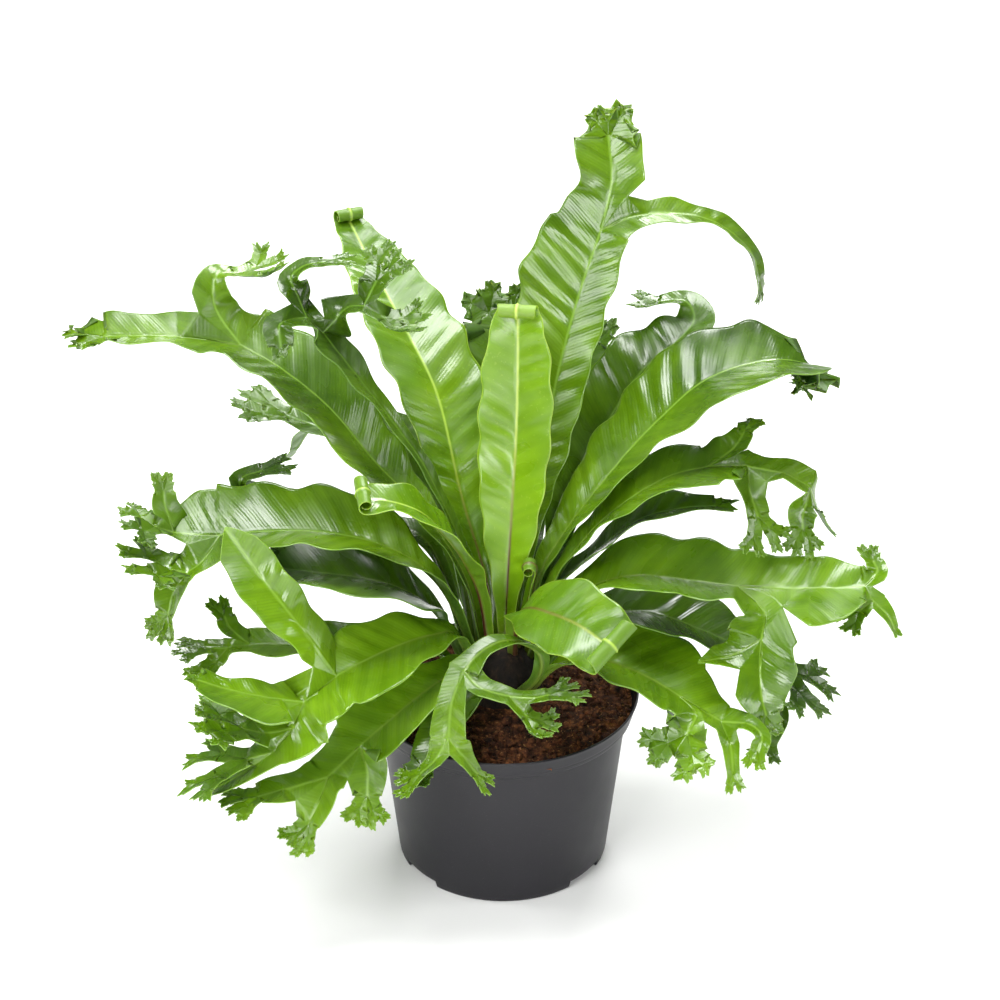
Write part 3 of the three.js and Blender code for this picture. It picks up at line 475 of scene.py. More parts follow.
def branch(*route, **more):
    # A station of the route is [x, y, z, left half, right half], one half for both where they are alike.
    # A crest is [forks, length, spread, curl], and a rolled tip [turns, radius], in mm and degrees.
    return {"route": list(route), **more}


def frond(name, tone, ring, at, root, seed, fold, *route, **more):
    # ring is the ring of roots, at the side that a frond leans to, root its place in the crown and
    # fold the rise of both halves, in degrees.
    return {"name": name, "tone": tone, "ring": ring, "at": at, "root": root, "seed": seed, "fold": fold,
            **branch(*route, **more)}


# The fronds, counted from the middle of the rosette outwards.
frondTable = [
    frond("frond_centre", "young", 1, 80, 80, 1, 16, [3, 14, 200, 10], [6, 25, 255, 21], [9, 37, 310, 26],
        [10, 47, 358, 24], [10, 52, 386, 18], [10, 53, 396, 14], tipRoll=[1.15, 5]),
    frond("frond_left_tall", "young", 2, 117, 118, 2, 16, [-11, 28, 195, 8], [-29, 50, 255, 16, 19],
        [-45, 82, 315, 31, 33], [-65, 116, 345, 32, 36], [-87, 156, 370, 25, 28], [-111, 209, 395, 11],
        tipRoll=[1.15, 5]),
    frond("frond_right_tall", "grown", 2, 62, 65, 3, 14, [16, 40, 225, 10], [28, 60, 290, 22],
        [40, 80, 345, 34, 27], [53, 96, 390, 45, 29], [67, 112, 428, 39, 27], fork=[
      branch([74, 128, 456, 23, 24], [72, 145, 484, 26, 22], crest=[2, 12, 32, 10]),
      branch([89, 113, 438, 13], [118, 118, 438, 13], [146, 120, 430, 14], [169, 118, 411, 14], [176, 114, 391, 9],
          crest=[2, 8, 24, -10])]),
    frond("frond_left_big", "grown", 2, 158, 149, 4, 18, [-26, 15, 208, 8], [-54, 24, 255, 20, 13],
        [-88, 35, 290, 43, 28], [-118, 46, 325, 50, 34], [-150, 55, 350, 49, 39], [-178, 62, 365, 42, 37], fork=[
      branch([-208, 60, 371, 40, 26], [-238, 55, 375, 32, 24], [-268, 50, 377, 27, 24], crest=[2, 14, 34, -10]),
      branch([-194, 74, 384, 22, 16], [-197, 81, 397, 14, 13], [-193, 87, 406, 10], [-183, 90, 405, 11],
          crest=[3, 14, 34, 20])]),
    frond("frond_right_big", "grown", 2, 25, 35, 5, 18, [26, 20, 208, 8], [46, 27, 245, 17], [66, 32, 272, 26],
        [86, 41, 295, 31, 29], [108, 50, 316, 37, 44], [134, 61, 336, 42, 59], [162, 70, 345, 43, 68],
        [191, 78, 346, 37, 62], [210, 84, 340, 27, 34], crest=[3, 10, 28, -75]),
    frond("frond_right_back", "old", 3, 48, 44, 6, 14, [35, 33, 212, 8], [52, 60, 262, 22, 18],
        [75, 86, 298, 29, 24], [98, 106, 325, 34, 26], [122, 126, 337, 27, 20], [135, 141, 347, 16],
        [129, 151, 357, 11], [111, 152, 356, 10], crest=[2, 11, 30, 10]),
    frond("frond_left_wide", "grown", 2, 187, 200, 7, 21, [-36, -8, 205, 14, 8], [-56, -12, 235, 29, 13],
        [-84, -12, 252, 33, 32], [-115, -10, 259, 38, 37], [-143, -10, 261, 38, 38], [-170, -12, 261, 34, 40],
        [-190, -14, 260, 28, 42], roll=-6, fork=[
      branch([-200, -34, 252, 19], [-210, -40, 246, 17], fork=[
        branch([-219, -46, 235, 14], [-223, -50, 221, 11], crest=[3, 9, 28, 10]),
        branch([-221, -43, 250, 16], crest=[3, 16, 44, 5])]),
      branch([-206, -15, 261, 17, 36], [-221, -16, 263, 14, 21], roll=-6, fork=[
        branch([-233, -20, 270, 15], crest=[3, 12, 40, 0]),
        branch([-227, -6, 278, 10], [-228, -2, 287, 8], crest=[2, 7, 22, 0])])]),
    frond("frond_left_young", "young", 1, 208, 200, 8, 14, [-15, -9, 207, 8], [-24, -17, 238, 15],
        [-37, -27, 266, 20], [-55, -36, 290, 19], [-76, -41, 301, 17], [-92, -44, 304, 16], roll=-10,
        tipRoll=[1.15, 5]),
    frond("frond_left_under", "old", 3, 188, 182, 9, 14, [-44, -6, 192, 15, 11], [-72, -15, 220, 50, 36],
        [-104, -21, 232, 46, 36], [-136, -24, 238, 33, 33], [-157, -26, 243, 18], crest=[1, 14, 26, 0]),
    frond("frond_left_low", "grown", 3, 186, 200, 22, 12, [-44, -16, 168, 8], [-80, -13, 174, 18],
        [-118, -16, 176, 24, 22], [-150, -21, 178, 23, 19], [-172, -26, 181, 18, 15], fork=[
      branch([-187, -31, 182, 12], fork=[
        branch([-195, -38, 175, 9], crest=[3, 8, 26, 10]),
        branch([-201, -35, 184, 9], crest=[3, 9, 28, 0])]),
      branch([-186, -21, 191, 10], [-190, -17, 198, 8], crest=[2, 8, 26, 0])]),
    frond("frond_front_left", "grown", 3, 213, 220, 10, 9, [-30, -27, 188, 9], [-50, -39, 196, 22, 20],
        [-72, -51, 195, 33, 29], [-93, -63, 191, 41, 31], [-111, -72, 185, 40, 27], roll=-8, fork=[
      branch([-132, -88, 175, 37, 24], fork=[
        branch([-139, -98, 161, 34, 21], fork=[
          branch([-152, -107, 148, 19], fork=[
            branch([-177, -112, 131, 12], [-196, -113, 120, 8], crest=[1, 8, 24, 0]),
            branch([-169, -108, 143, 12], crest=[3, 18, 32, 0])]),
          branch([-158, -101, 159, 21], [-171, -103, 163, 18], crest=[3, 14, 36, 0])]),
        branch([-157, -92, 181, 39, 17], [-180, -94, 188, 31, 13], [-201, -93, 195, 13], crest=[1, 8, 24, 0])]),
      branch([-131, -66, 214, 19, 17], [-153, -62, 246, 19, 16], [-169, -58, 270, 17, 15], [-182, -54, 289, 11],
          roll=-60, end="point")]),
    frond("frond_front_low", "grown", 3, 232, 241, 11, 14, [-24, -37, 170, 9], [-37, -48, 170, 16],
        [-56, -60, 162, 23], [-78, -72, 148, 27], [-96, -82, 136, 26], roll=-8, fork=[
      branch([-91, -94, 124, 14], [-91, -102, 110, 10], crest=[3, 10, 28, 15]),
      branch([-117, -98, 122, 22, 18], fork=[
        branch([-122, -110, 112, 15], [-129, -118, 99, 10], crest=[3, 9, 28, 15]),
        branch([-142, -108, 120, 21, 14], [-162, -114, 117, 12], crest=[3, 10, 28, 0])])]),
    frond("frond_front_under", "old", 3, 243, 265, 12, 12, [-14, -42, 154, 8], [-27, -58, 153, 13],
        [-41, -77, 146, 15], [-53, -95, 130, 11], crest=[2, 11, 30, 20]),
    frond("frond_front_crested", "grown", 3, 262, 293, 13, 10, [24, -38, 164, 5], [25, -46, 186, 6],
        [13, -52, 199, 7], [-1, -59, 204, 8], [-15, -68, 201, 9], [-26, -80, 194, 12], fork=[
      branch([-15, -93, 189, 10], [4, -99, 186, 9], fork=[
        branch([20, -99, 185, 8], [30, -97, 186, 7], crest=[3, 9, 28, 0]),
        branch([15, -105, 175, 8], crest=[3, 9, 32, 20])]),
      branch([-34, -92, 176, 11], [-36, -101, 156, 13], fork=[
        branch([-25, -107, 142, 8], [-18, -110, 133, 6], crest=[2, 8, 28, 10]),
        branch([-45, -108, 142, 8], [-54, -111, 134, 7], crest=[3, 8, 28, 10])])]),
    frond("frond_right_folded", "young", 1, 312, 325, 14, 10, [9, -14, 194, 8], [17, -31, 213, 17],
        [31, -50, 221, 27], [51, -72, 224, 28], [71, -92, 219, 22], roll=32, tipRoll=[0.8, 6]),
    frond("frond_bud", "young", 1, 20, 22, 15, 12, [17, 3, 195, 6], [20, 2, 212, 7], [22, 0, 226, 6.5],
        tipRoll=[1.15, 4.5]),
    frond("frond_right_wide", "grown", 3, 352, 0, 16, 21, [38, -8, 188, 8], [56, -9, 214, 15, 17],
        [88, -11, 227, 32, 36], [127, -16, 226, 34, 41], [158, -22, 225, 32, 37], roll=6, fork=[
      branch([192, -26, 226, 25, 56], [222, -28, 227, 22, 46], [243, -29, 229, 16, 22], roll=18, fork=[
        branch([252, -21, 235, 9], [250, -15, 240, 7], crest=[2, 7, 24, 10]),
        branch([248, -36, 222, 9], fork=[
          branch([257, -42, 215, 7], [262, -46, 206, 5], crest=[1, 7, 24, 10]),
          branch([239, -41, 217, 8], crest=[3, 8, 26, 10])])]),
      branch([175, -41, 216, 25, 20], [173, -53, 203, 25, 25], fork=[
        branch([172, -62, 186, 25, 23], [173, -70, 168, 19], [176, -74, 156, 11], crest=[2, 8, 26, 10]),
        branch([155, -57, 193, 22, 12], [141, -61, 191, 19, 11], [130, -64, 191, 10], end="point")])]),
    frond("frond_right_under", "old", 3, 348, 340, 17, 14, [46, -9, 176, 9], [68, -14, 197, 21, 21],
        [100, -18, 202, 31, 38], [134, -24, 192, 31, 29], [162, -31, 182, 23, 21], fork=[
      branch([185, -39, 175, 14], [193, -42, 170, 13], crest=[3, 17, 40, 0]),
      branch([180, -53, 160, 10], [186, -59, 145, 8], [181, -65, 130, 6], crest=[2, 9, 28, 10])]),
    frond("frond_right_middle", "grown", 2, 8, 8, 18, 16, [34, 6, 209, 8], [60, 7, 251, 13, 16],
        [88, 9, 277, 24, 29], [114, 13, 291, 27, 36], [138, 16, 296, 24, 55], fork=[
      branch([156, 26, 305, 14], [164, 34, 314, 9], crest=[2, 7, 26, -20]),
      branch([164, 12, 299, 16, 34], fork=[
        branch([189, 8, 295, 15, 17], [206, 4, 287, 18, 13], fork=[
          branch([212, 5, 270, 8], crest=[3, 8, 24, 10]),
          branch([202, -4, 271, 10], [202, -6, 262, 8], crest=[3, 8, 28, 10])]),
        branch([166, 3, 284, 10], [171, -5, 270, 9], crest=[3, 11, 32, 10])])]),
    frond("frond_right_thin", "old", 3, 2, 20, 23, 14, [36, 14, 200, 8], [65, 8, 236, 13, 20], [92, 2, 263, 18, 18],
        [120, -2, 274, 18, 11], [142, -4, 277, 10], crest=[1, 14, 24, 0]),
    frond("frond_right_lower", "grown", 3, 323, 318, 19, 14, [34, -28, 164, 8], [50, -38, 176, 18, 16],
        [70, -47, 181, 38, 29], [96, -60, 177, 43, 33], [118, -72, 169, 36, 27], fork=[
      branch([145, -84, 157, 15], fork=[
        branch([163, -94, 161, 9], [171, -100, 156, 7], [169, -104, 148, 6], crest=[2, 7, 26, 10]),
        branch([151, -94, 145, 7], [153, -101, 129, 5], crest=[2, 7, 22, 10])]),
      branch([128, -86, 164, 20], [122, -95, 154, 16], crest=[3, 13, 38, 4])]),
    frond("frond_left_crested", "old", 1, 160, 140, 20, 12, [-20, 8, 215, 6], [-50, 14, 290, 8], [-73, 20, 326, 9],
        [-92, 24, 352, 13], [-109, 27, 375, 23, 18], [-120, 29, 390, 25, 20], fork=[
      branch([-130, 27, 402, 27, 23], fork=[
        branch([-146, 18, 402, 13], [-146, 10, 389, 9], crest=[1, 10, 26, 20]),
        branch([-136, 36, 413, 15], [-140, 39, 425, 9], [-131, 43, 432, 8], [-119, 46, 433, 7],
            crest=[2, 10, 22, 0])]),
      branch([-104, 34, 405, 13], [-92, 32, 408, 13], fork=[
        branch([-84, 44, 420, 12], crest=[3, 11, 30, 0]),
        branch([-78, 26, 402, 12], crest=[3, 12, 30, 20])])]),
    frond("frond_back_crest", "old", 3, 100, 103, 21, 14, [-8, 50, 215, 8], [-10, 80, 275, 21], [-8, 110, 316, 27],
        [-3, 136, 343, 25], crest=[3, 13, 38, 10]),
    frond("frond_back_right", "old", 3, 66, 64, 25, 14, [19, 48, 212, 8], [30, 104, 268, 16, 14],
        [50, 138, 300, 18, 17], [66, 162, 320, 15], crest=[2, 12, 28, 10]),
    frond("frond_back_left", "old", 3, 125, 143, 26, 14, [-34, 38, 226, 7], [-62, 76, 258, 13], [-100, 98, 272, 16],
        [-132, 104, 282, 16], [-152, 106, 289, 14], crest=[3, 14, 24, 0]),
    frond("frond_left_back", "old", 3, 160, 163, 27, 12, [-48, 20, 228, 9], [-82, 31, 244, 14], [-120, 36, 252, 14],
        [-156, 40, 260, 12], [-180, 42, 265, 10], [-179, 44, 273, 8], [-166, 46, 277, 9], crest=[2, 11, 26, 0]),
    frond("frond_back_low_left", "grown", 3, 127, 123, 28, 14, [-32, 42, 196, 8], [-60, 88, 240, 23],
        [-92, 135, 262, 27], [-125, 172, 256, 20], fork=[
      branch([-142, 178, 242, 13], [-152, 184, 224, 9], crest=[2, 12, 32, 10]),
      branch([-130, 200, 250, 13], [-135, 218, 234, 9], crest=[2, 12, 32, 10])]),
    frond("frond_back_low", "grown", 3, 84, 84, 29, 14, [3, 55, 196, 8], [8, 102, 238, 23], [10, 150, 254, 27],
        [14, 192, 250, 20], fork=[
      branch([0, 214, 238, 13], [-6, 226, 218, 9], crest=[2, 12, 32, 10]),
      branch([34, 212, 240, 13], [44, 222, 220, 9], crest=[2, 12, 32, 10])]),
]


def colour(code):
    # An sRGB hex code as linear red, green, blue and alpha.
    v = np.array([int(code[i:i + 2], 16) for i in (0, 2, 4)]) / 255.0
    lin = np.where(v <= 0.04045, v / 12.92, ((v + 0.055) / 1.055) ** 2.4)
    return (*[float(part) for part in lin], 1.0)


class Field:
    # A number or colour that varies over a material. Each sum, product and so on of it is one node.
    def __init__(self, tree, socket):
        self.tree = tree
        self.socket = socket

    def node(self, kind, inputs, output=0):
        # A new node; a field goes into an input by a link, a plain value is set on the input itself.
        node = self.tree.nodes.new(kind)
        for key, value in inputs.items():
            if isinstance(value, Field):
                self.tree.links.new(value.socket, node.inputs[key])
            else:
                node.inputs[key].default_value = value
        return node, Field(self.tree, node.outputs[output])

    def calc(self, kind, *values):
        node, result = self.node("ShaderNodeMath", dict(enumerate(values)))
        node.operation = kind
        return result

    def __add__(self, other):
        return self.calc("ADD", self, other)

    def __sub__(self, other):
        return self.calc("SUBTRACT", self, other)

    def __rsub__(self, other):
        return self.calc("SUBTRACT", other, self)

    def __mul__(self, other):
        return self.calc("MULTIPLY", self, other)

    def __truediv__(self, other):
        return self.calc("DIVIDE", self, other)

    def __gt__(self, other):
        return self.calc("GREATER_THAN", self, other)

    def clamped(self):
        # The last sum or product is held to 0..1.
        self.socket.node.use_clamp = True
        return self

    def ramp(self, *stops):
        # Stops are (place, colour code) or (place, grey).
        node, result = self.node("ShaderNodeValToRGB", {"Fac": self})
        elements = node.color_ramp.elements
        while len(elements) < len(stops):
            elements.new(0.5)
        for element, (place, tint) in zip(elements, stops):
            element.position = place
            element.color = colour(tint) if isinstance(tint, str) else (tint, tint, tint, 1.0)
        return result

    def blend(self, share, code):
        # This colour goes over to the given one by the share.
        node = self.tree.nodes.new("ShaderNodeMix")
        node.data_type = "RGBA"
        self.tree.links.new(share.socket, node.inputs["Factor"])
        self.tree.links.new(self.socket, node.inputs[6])
        node.inputs[7].default_value = colour(code)
        return Field(self.tree, node.outputs[2])

    def feed(self, shader, name):
        self.tree.links.new(self.socket, shader.inputs[name])

    def bump(self, shader, distance, strength):
        inputs = {"Strength": strength, "Distance": distance, "Height": self}
        self.node("ShaderNodeBump", inputs)[1].feed(shader, "Normal")


def cloud(tree, scale, detail=3.0, roughness=0.55, stretch=(1.0, 1.0, 1.0)):
    # Noise on object coordinates; scale counts per metre.
    place = Field(tree, tree.nodes.new("ShaderNodeTexCoord").outputs["Object"])
    if stretch != (1.0, 1.0, 1.0):
        place = place.node("ShaderNodeMapping", {"Vector": place, "Scale": stretch})[1]
    inputs = {"Vector": place, "Scale": scale, "Detail": detail, "Roughness": roughness}
    return place.node("ShaderNodeTexNoise", inputs, "Fac")[1]


def lineNoise(value, detail):
    # Noise that changes along one number only.
    node = value.tree.nodes.new("ShaderNodeTexNoise")
    node.noise_dimensions = "1D"
    node.inputs["Scale"].default_value = 1.0
    node.inputs["Detail"].default_value = detail
    value.tree.links.new(value.socket, node.inputs["W"])
    return Field(value.tree, node.outputs["Fac"])


def meshNumber(tree, name):
    node = tree.nodes.new("ShaderNodeAttribute")
    node.attribute_name = name
    return Field(tree, node.outputs["Fac"])


toneParts = ["deep", "plain", "light", "rib", "edge", "under", "veins", "rough", "sheen", "stripe", "ripple"]
leafTones = {
    # Deep, plain and light green of the upper face, then rib, edge and underside. Then the strength
    # of the painted shade in the grooves of the side veins, the roughness, the glow from inside, the brown stripe
    # and the relief.
    "pale": ["608804", "79a30c", "8db51c", "c6d96c", "b4cf5a", "7f9f30", 0.03, 0.27, 0.35, 1.0, 0.3],
    "young": ["3c5c02", "588006", "729614", "a9c850", "a3c24a", "62861c", 0.12, 0.22, 0.35, 1.0, 0.7],
    # A lighter copy of the grown green: painted light for the low front fronds, which lie in the shade of those
    # above.
    "fresh": ["3c6006", "62890b", "7ea51e", "80a636", "86aa40", "62892c", 0.2, 0.2, 0.3, 0.3, 1.0],
    "grown": ["325204", "567a09", "729719", "7a9f38", "7fa33e", "507722", 0.2, 0.2, 0.3, 0.3, 1.0],
    "old": ["284404", "466808", "5d8113", "668c2c", "6b9030", "42681c", 0.2, 0.21, 0.25, 0.3, 1.0],
}
# The low front fronds take the lighter copy of the grown green, painted light that stands in for the shade they lie
# in.
specialTones = {
    "frond_centre": "pale", "frond_front_left": "fresh", "frond_front_low": "fresh",
    "frond_right_wide": "fresh", "frond_right_lower": "fresh",
}
leafFinish = {
    "veinStep": 2.4,  # mm between side veins
    "veinSlant": 0.6,
    "veinWander": 2.5,  # mm by which they stray
    "specular": 0.6,
    "roughSpan": 0.24,  # from the glossiest to the dullest spot, around the tone's own roughness
    "matteRough": 0.17,  # roughness added in the dull patches
    "underRough": 0.18,  # and on the underside
    "valleyShadeShare": 0.26,  # how far the painted shade in the valleys between the raised streaks goes towards the deep green
    "streakStep": 9.0,  # mm between the broad streaks that run along the side veins
    "relief": 0.0005,  # m, height of the streaks
    "veinShare": 0.035,  # height of a side vein against that of a streak
    "grainShare": 0.07,  # and of the fine grain
    "smoothRib": 4.0,  # mm from the rib over which the relief comes in
    "ribHalf": 1.2,
    "edgeHalf": 0.6,
    "stripeFrom": 60.0,  # the brown stripe of the rib fades out between these distances, in mm
    "stripeTo": 165.0,
    "stripeColour": "4a2412",
    "footLength": 26.0,  # mm of brown at the foot
    "footColour": "3a2812",
    "glowRadius": (0.8, 1.0, 0.1),
    "glowScale": 0.002,  # m
}


def leafMaterial(name, tone):
    # Side veins = sine of the distance along the rib less the slant; rib, edge and foot fade in by distance.
    leaf = leafFinish
    material, tree, shader = newMaterial(name)
    u, s, e, under = [meshNumber(tree, key) for key in ("fromRib", "alongRib", "toEdge", "isUnder")]
    veinPlace = s - u * leaf["veinSlant"] + cloud(tree, 40.0, 2.0) * leaf["veinWander"]
    streak = lineNoise(veinPlace / leaf["streakStep"], 1.0)
    vein = veinPlace.calc("SINE", veinPlace * (2 * np.pi / leaf["veinStep"]))
    body = cloud(tree, 13.0, 4.0).ramp((0.28, tone["deep"]), (0.5, tone["plain"]), (0.74, tone["light"]))
    # Painted shade: the green darkens down in the grooves of the side veins, in patches.
    veinGrooveShade = (0.0 - vein).clamped() * tone["veins"] * cloud(tree, 45.0, 2.0).ramp((0.4, 0.1), (0.62, 1.0))
    body = body.blend(veinGrooveShade, tone["deep"])
    # Painted shade: darker green down in the low valleys of the streak relief.
    body = body.blend(streak.ramp((0.36, leaf["valleyShadeShare"]), (0.6, 0.0)), tone["deep"])
    body = body.blend((cloud(tree, 420.0, 2.0) > 0.66) * 0.14, tone["rib"])
    body = body.blend((1.0 - e / leaf["edgeHalf"]).clamped() * 0.7, tone["edge"])
    body = body.blend(under * 0.62, tone["under"])
    body = body.blend((1.25 - u / leaf["ribHalf"]).clamped() * 0.8, tone["rib"])
    low = ((leaf["stripeTo"] - s) / (leaf["stripeTo"] - leaf["stripeFrom"])).clamped()
    stripe = (1.5 - u / leaf["ribHalf"]).clamped() * low * tone["stripe"]
    body = body.blend(stripe, leaf["stripeColour"])
    body.blend((1.0 - s / leaf["footLength"]).clamped(), leaf["footColour"]).feed(shader, "Base Color")
    dull = cloud(tree, 30.0, 3.0) * 0.5 + streak * 0.5
    rough = dull * leaf["roughSpan"] + (tone["rough"] - leaf["roughSpan"] / 2)
    rough = rough + cloud(tree, 20.0, 2.0).ramp((0.36, leaf["matteRough"]), (0.56, 0.0))
    (rough + under * leaf["underRough"]).clamped().feed(shader, "Roughness")
    shader.inputs["Specular IOR Level"].default_value = leaf["specular"]
    shader.inputs["Subsurface Weight"].default_value = tone["sheen"]
    shader.inputs["Subsurface Radius"].default_value = leaf["glowRadius"]
    shader.inputs["Subsurface Scale"].default_value = leaf["glowScale"]
    fine = vein * leaf["veinShare"] + cloud(tree, 240.0, 3.0) * leaf["grainShare"]
    height = (fine + streak) * (u / leaf["smoothRib"]).clamped()
    height.bump(shader, leaf["relief"] * tone["ripple"], 1.0)
    return material


leafMaterials = {name: leafMaterial("leaf" + name.capitalize(), dict(zip(toneParts, values)))
                 for name, values in leafTones.items()}


def camel(name):
    words = name.split("_")
    return words[0] + "".join(word.capitalize() for word in words[1:])


total = 0
for spec in frondTable:
    points, faces, values = thickenSheet(*growSheet(spec))
    piece = layMesh(camel(spec["name"]), points, faces, values=values)
    look = specialTones.get(spec["name"], spec["tone"])
    settle(piece, spec["name"], spec["tone"] + "_green", leafMaterials[look])
    total += len(faces)
print("fronds grown:", len(frondTable), "with", total, "triangles")


def turned(r, z, sides):
    # Radii and heights of a profile carried round +Z; either may vary with the angle.
    angle = np.linspace(0, 2 * np.pi, sides, endpoint=False)
    return np.stack(np.broadcast_arrays(r * np.cos(angle), r * np.sin(angle), z), -1)


def stripFaces(rows, sides):
    # Two triangles for each cell of a turned strip, whose last column joins the first.
    i = np.arange(rows - 1)[:, None] * sides
    j = np.arange(sides)[None, :]
    k = (j + 1) % sides
    quads = np.stack([i + j, i + k, i + sides + k, i + sides + j], -1).reshape(-1, 4)
    return np.concatenate([quads[:, [0, 1, 2]], quads[:, [0, 2, 3]]])


def closedStrip(grid, low, high):
    # A turned strip with a fan to the axis at the height of each end.
    rows, sides = grid.shape[:2]
    first = np.arange(sides)
    following = (first + 1) % sides
    count = rows * sides
    last = count - sides
    lowFan = np.stack([np.full(sides, count), following, first], 1)
    highFan = np.stack([np.full(sides, count + 1), last + first, last + following], 1)
    points = np.concatenate([grid.reshape(-1, 3), [[0, 0, low], [0, 0, high]]])
    return points, np.concatenate([stripFaces(rows, sides), lowFan, highFan])


potShape = {
    "height": 130.0, "rimRadius": 95.0, "bandHeight": 15.0, "bandBottomRadius": 91.0,
    "bodyTopRadius": 86.5, "baseRadius": 74.0, "wall": 1.5, "floorTop": 8.4, "sides": 720,
    "channelAngles": [-38, -142, 38, 142], "channelHalf": 16.0, "channelStart": 30.0, "channelHeight": 4.5,
    "holeAt": 55.0, "holeRadius": 6.0, "holeDepth": 1.9,
    "dark": "0d0b12", "light": "131118", "dust": "6b6967", "dustShare": 0.12, "roughness": 0.36,
    "roughSpan": 0.18, "specular": 0.42, "grain": 0.00006,  # grain in m
}


def steep(d, width):
    # 0 below -width/2, 1 above width/2.
    return np.clip(d / width + 0.5, 0, 1)


def baseRelief(p, x, y):
    # Height of the base's underside: the raised drainage channels, and the holes in their roofs.
    lift, hole = np.zeros_like(x), np.zeros_like(x)
    for a in np.radians(p["channelAngles"]):
        along = x * np.cos(a) + y * np.sin(a)
        off = np.abs(y * np.cos(a) - x * np.sin(a))
        lift = np.maximum(lift, steep(p["channelHalf"] - off, 0.5) * steep(along - p["channelStart"], 0.5))
        hole = np.maximum(hole, steep(p["holeRadius"] - np.hypot(along - p["holeAt"], off), 0.6))
    return lift * p["channelHeight"] + hole * p["holeDepth"]


def buildPot(p):
    # Underside, outer wall, band, rim, inner wall and floor as one turned strip.
    sides, base, body, band, rim, top = [
        p[key] for key in ("sides", "baseRadius", "bodyTopRadius", "bandBottomRadius", "rimRadius", "height")]
    angle = np.linspace(0, 2 * np.pi, sides, endpoint=False)
    across, ahead = np.cos(angle), np.sin(angle)
    rings = [np.linspace(0.5, 28, 8), np.linspace(29, 32, 8), np.linspace(34, base - 2.5, 34)]
    footR = np.concatenate(rings)[:, None]
    footZ = baseRelief(p, footR * across, footR * ahead)
    bandFoot = top - p["bandHeight"]
    wallTop = bandFoot - 2.0
    edge = baseRelief(p, base * across, base * ahead)
    t = np.concatenate([[0.0, 0.004, 0.012, 0.025, 0.05], np.linspace(0.1, 1.0, 18)])[:, None]
    wallZ = edge + (wallTop - edge) * t
    wallR = base + (body - base) / (wallTop - 1.2) * (wallZ - 1.2)
    wallR[:5] -= np.array([1.6, 0.9, 0.4, 0.12, 0.0])[:, None]
    lean = (rim - band) / (p["bandHeight"] - 1.0)
    side = [[lean * (h - 1.1) + 0.05, h] for h in (2.2, 3.4, 3.8, 4.2, 5.6, 8.0, 10.5, 12.4)]
    side[2][0] -= 0.18  # a fine groove under the rim's band
    inside, floorTop = p["wall"], p["floorTop"]
    # Radius and height, then steps from them.
    stretches = [
        (body, bandFoot, [[0.05, -1.2], [0.4, -0.5], [1.2, -0.12]]),
        (band, bandFoot, [[-0.9, 0], [-0.25, 0.3], [0.05, 1.1]] + side),
        (rim, top, [[-0.25, -1.5], [0, -0.9], [-0.15, -0.35], [-0.55, -0.05], [-0.95, 0], [-1.35, -0.12],
                    [-1.65, -0.6]]),
        (band - inside, top, [[3.2, -3.5]]),
        (band - inside, bandFoot, [[0, 1.5]]),
        (body - inside, bandFoot, [[0, -1.5], [-4.6, 78 - bandFoot]]),
        (base - inside, floorTop, [[0.6, 0.1]]),
        (0, floorTop, [[30, 0], [0.5, 0]]),
    ]
    rest = np.concatenate([np.add(steps, [r, z]) for r, z, steps in stretches])
    whole = np.ones(sides)
    r = np.concatenate([footR * whole, wallR, rest[:, :1] * whole])
    z = np.concatenate([footZ, wallZ, rest[:, 1:] * whole])
    return closedStrip(turned(r, z, sides), 0.0, floorTop)


def potMaterial(p):
    # Satin charcoal plastic: faint cloudiness, fine orange-peel bump, a little dust.
    material, tree, shader = newMaterial("potPlastic")
    body = cloud(tree, 9.0, 4.0).ramp((0.3, p["dark"]), (0.7, p["light"]))
    body.blend((cloud(tree, 900.0, 2.0) > 0.7) * p["dustShare"], p["dust"]).feed(shader, "Base Color")
    (cloud(tree, 26.0, 4.0) * p["roughSpan"] + p["roughness"]).feed(shader, "Roughness")
    shader.inputs["Specular IOR Level"].default_value = p["specular"]
    cloud(tree, 650.0, 2.0).bump(shader, p["grain"], 0.6)
    return material


points, faces = buildPot(potShape)
settle(layMesh("potShell", points, faces), "pot", "pot_plastic", potMaterial(potShape))
print("pot turned:", len(faces), "triangles")


soilShape = {
    "sides": 420, "clods": 1500, "seed": 7, "bumps": 2.0,  # mm
    "radii": [26, 44, 60, 76, 92], "heights": [129, 127, 125, 123, 121],  # a gentle cone up to the crown
    "skirt": [(88.9, 116.8), (84.4, 112.5), (71.0, 9.5), (20.0, 9.0)],  # radius and height down the wall
    "highest": 131.5,  # mm, for the middle of a clod
    "damp": "180c06", "brown": "462818", "dry": "7c4c2c", "crumb": "a47a50", "crumbShare": 0.55,
    "roughness": 0.95, "specular": 0.25, "grain": 0.0012,  # grain in m
}


def waveNoise(points, seed, scale, layers):
    # Sum of sines in random directions, each layer finer and lower than the last.
    chance = np.random.default_rng(seed)
    total = np.zeros(len(points))
    for k in range(layers):
        for n in range(4):
            way = unit(chance.normal(size=3)) * scale * 1.75 ** k
            total += np.sin(points @ way + chance.uniform(0, 6.28)) / 1.6 ** k
    return total / 4.0


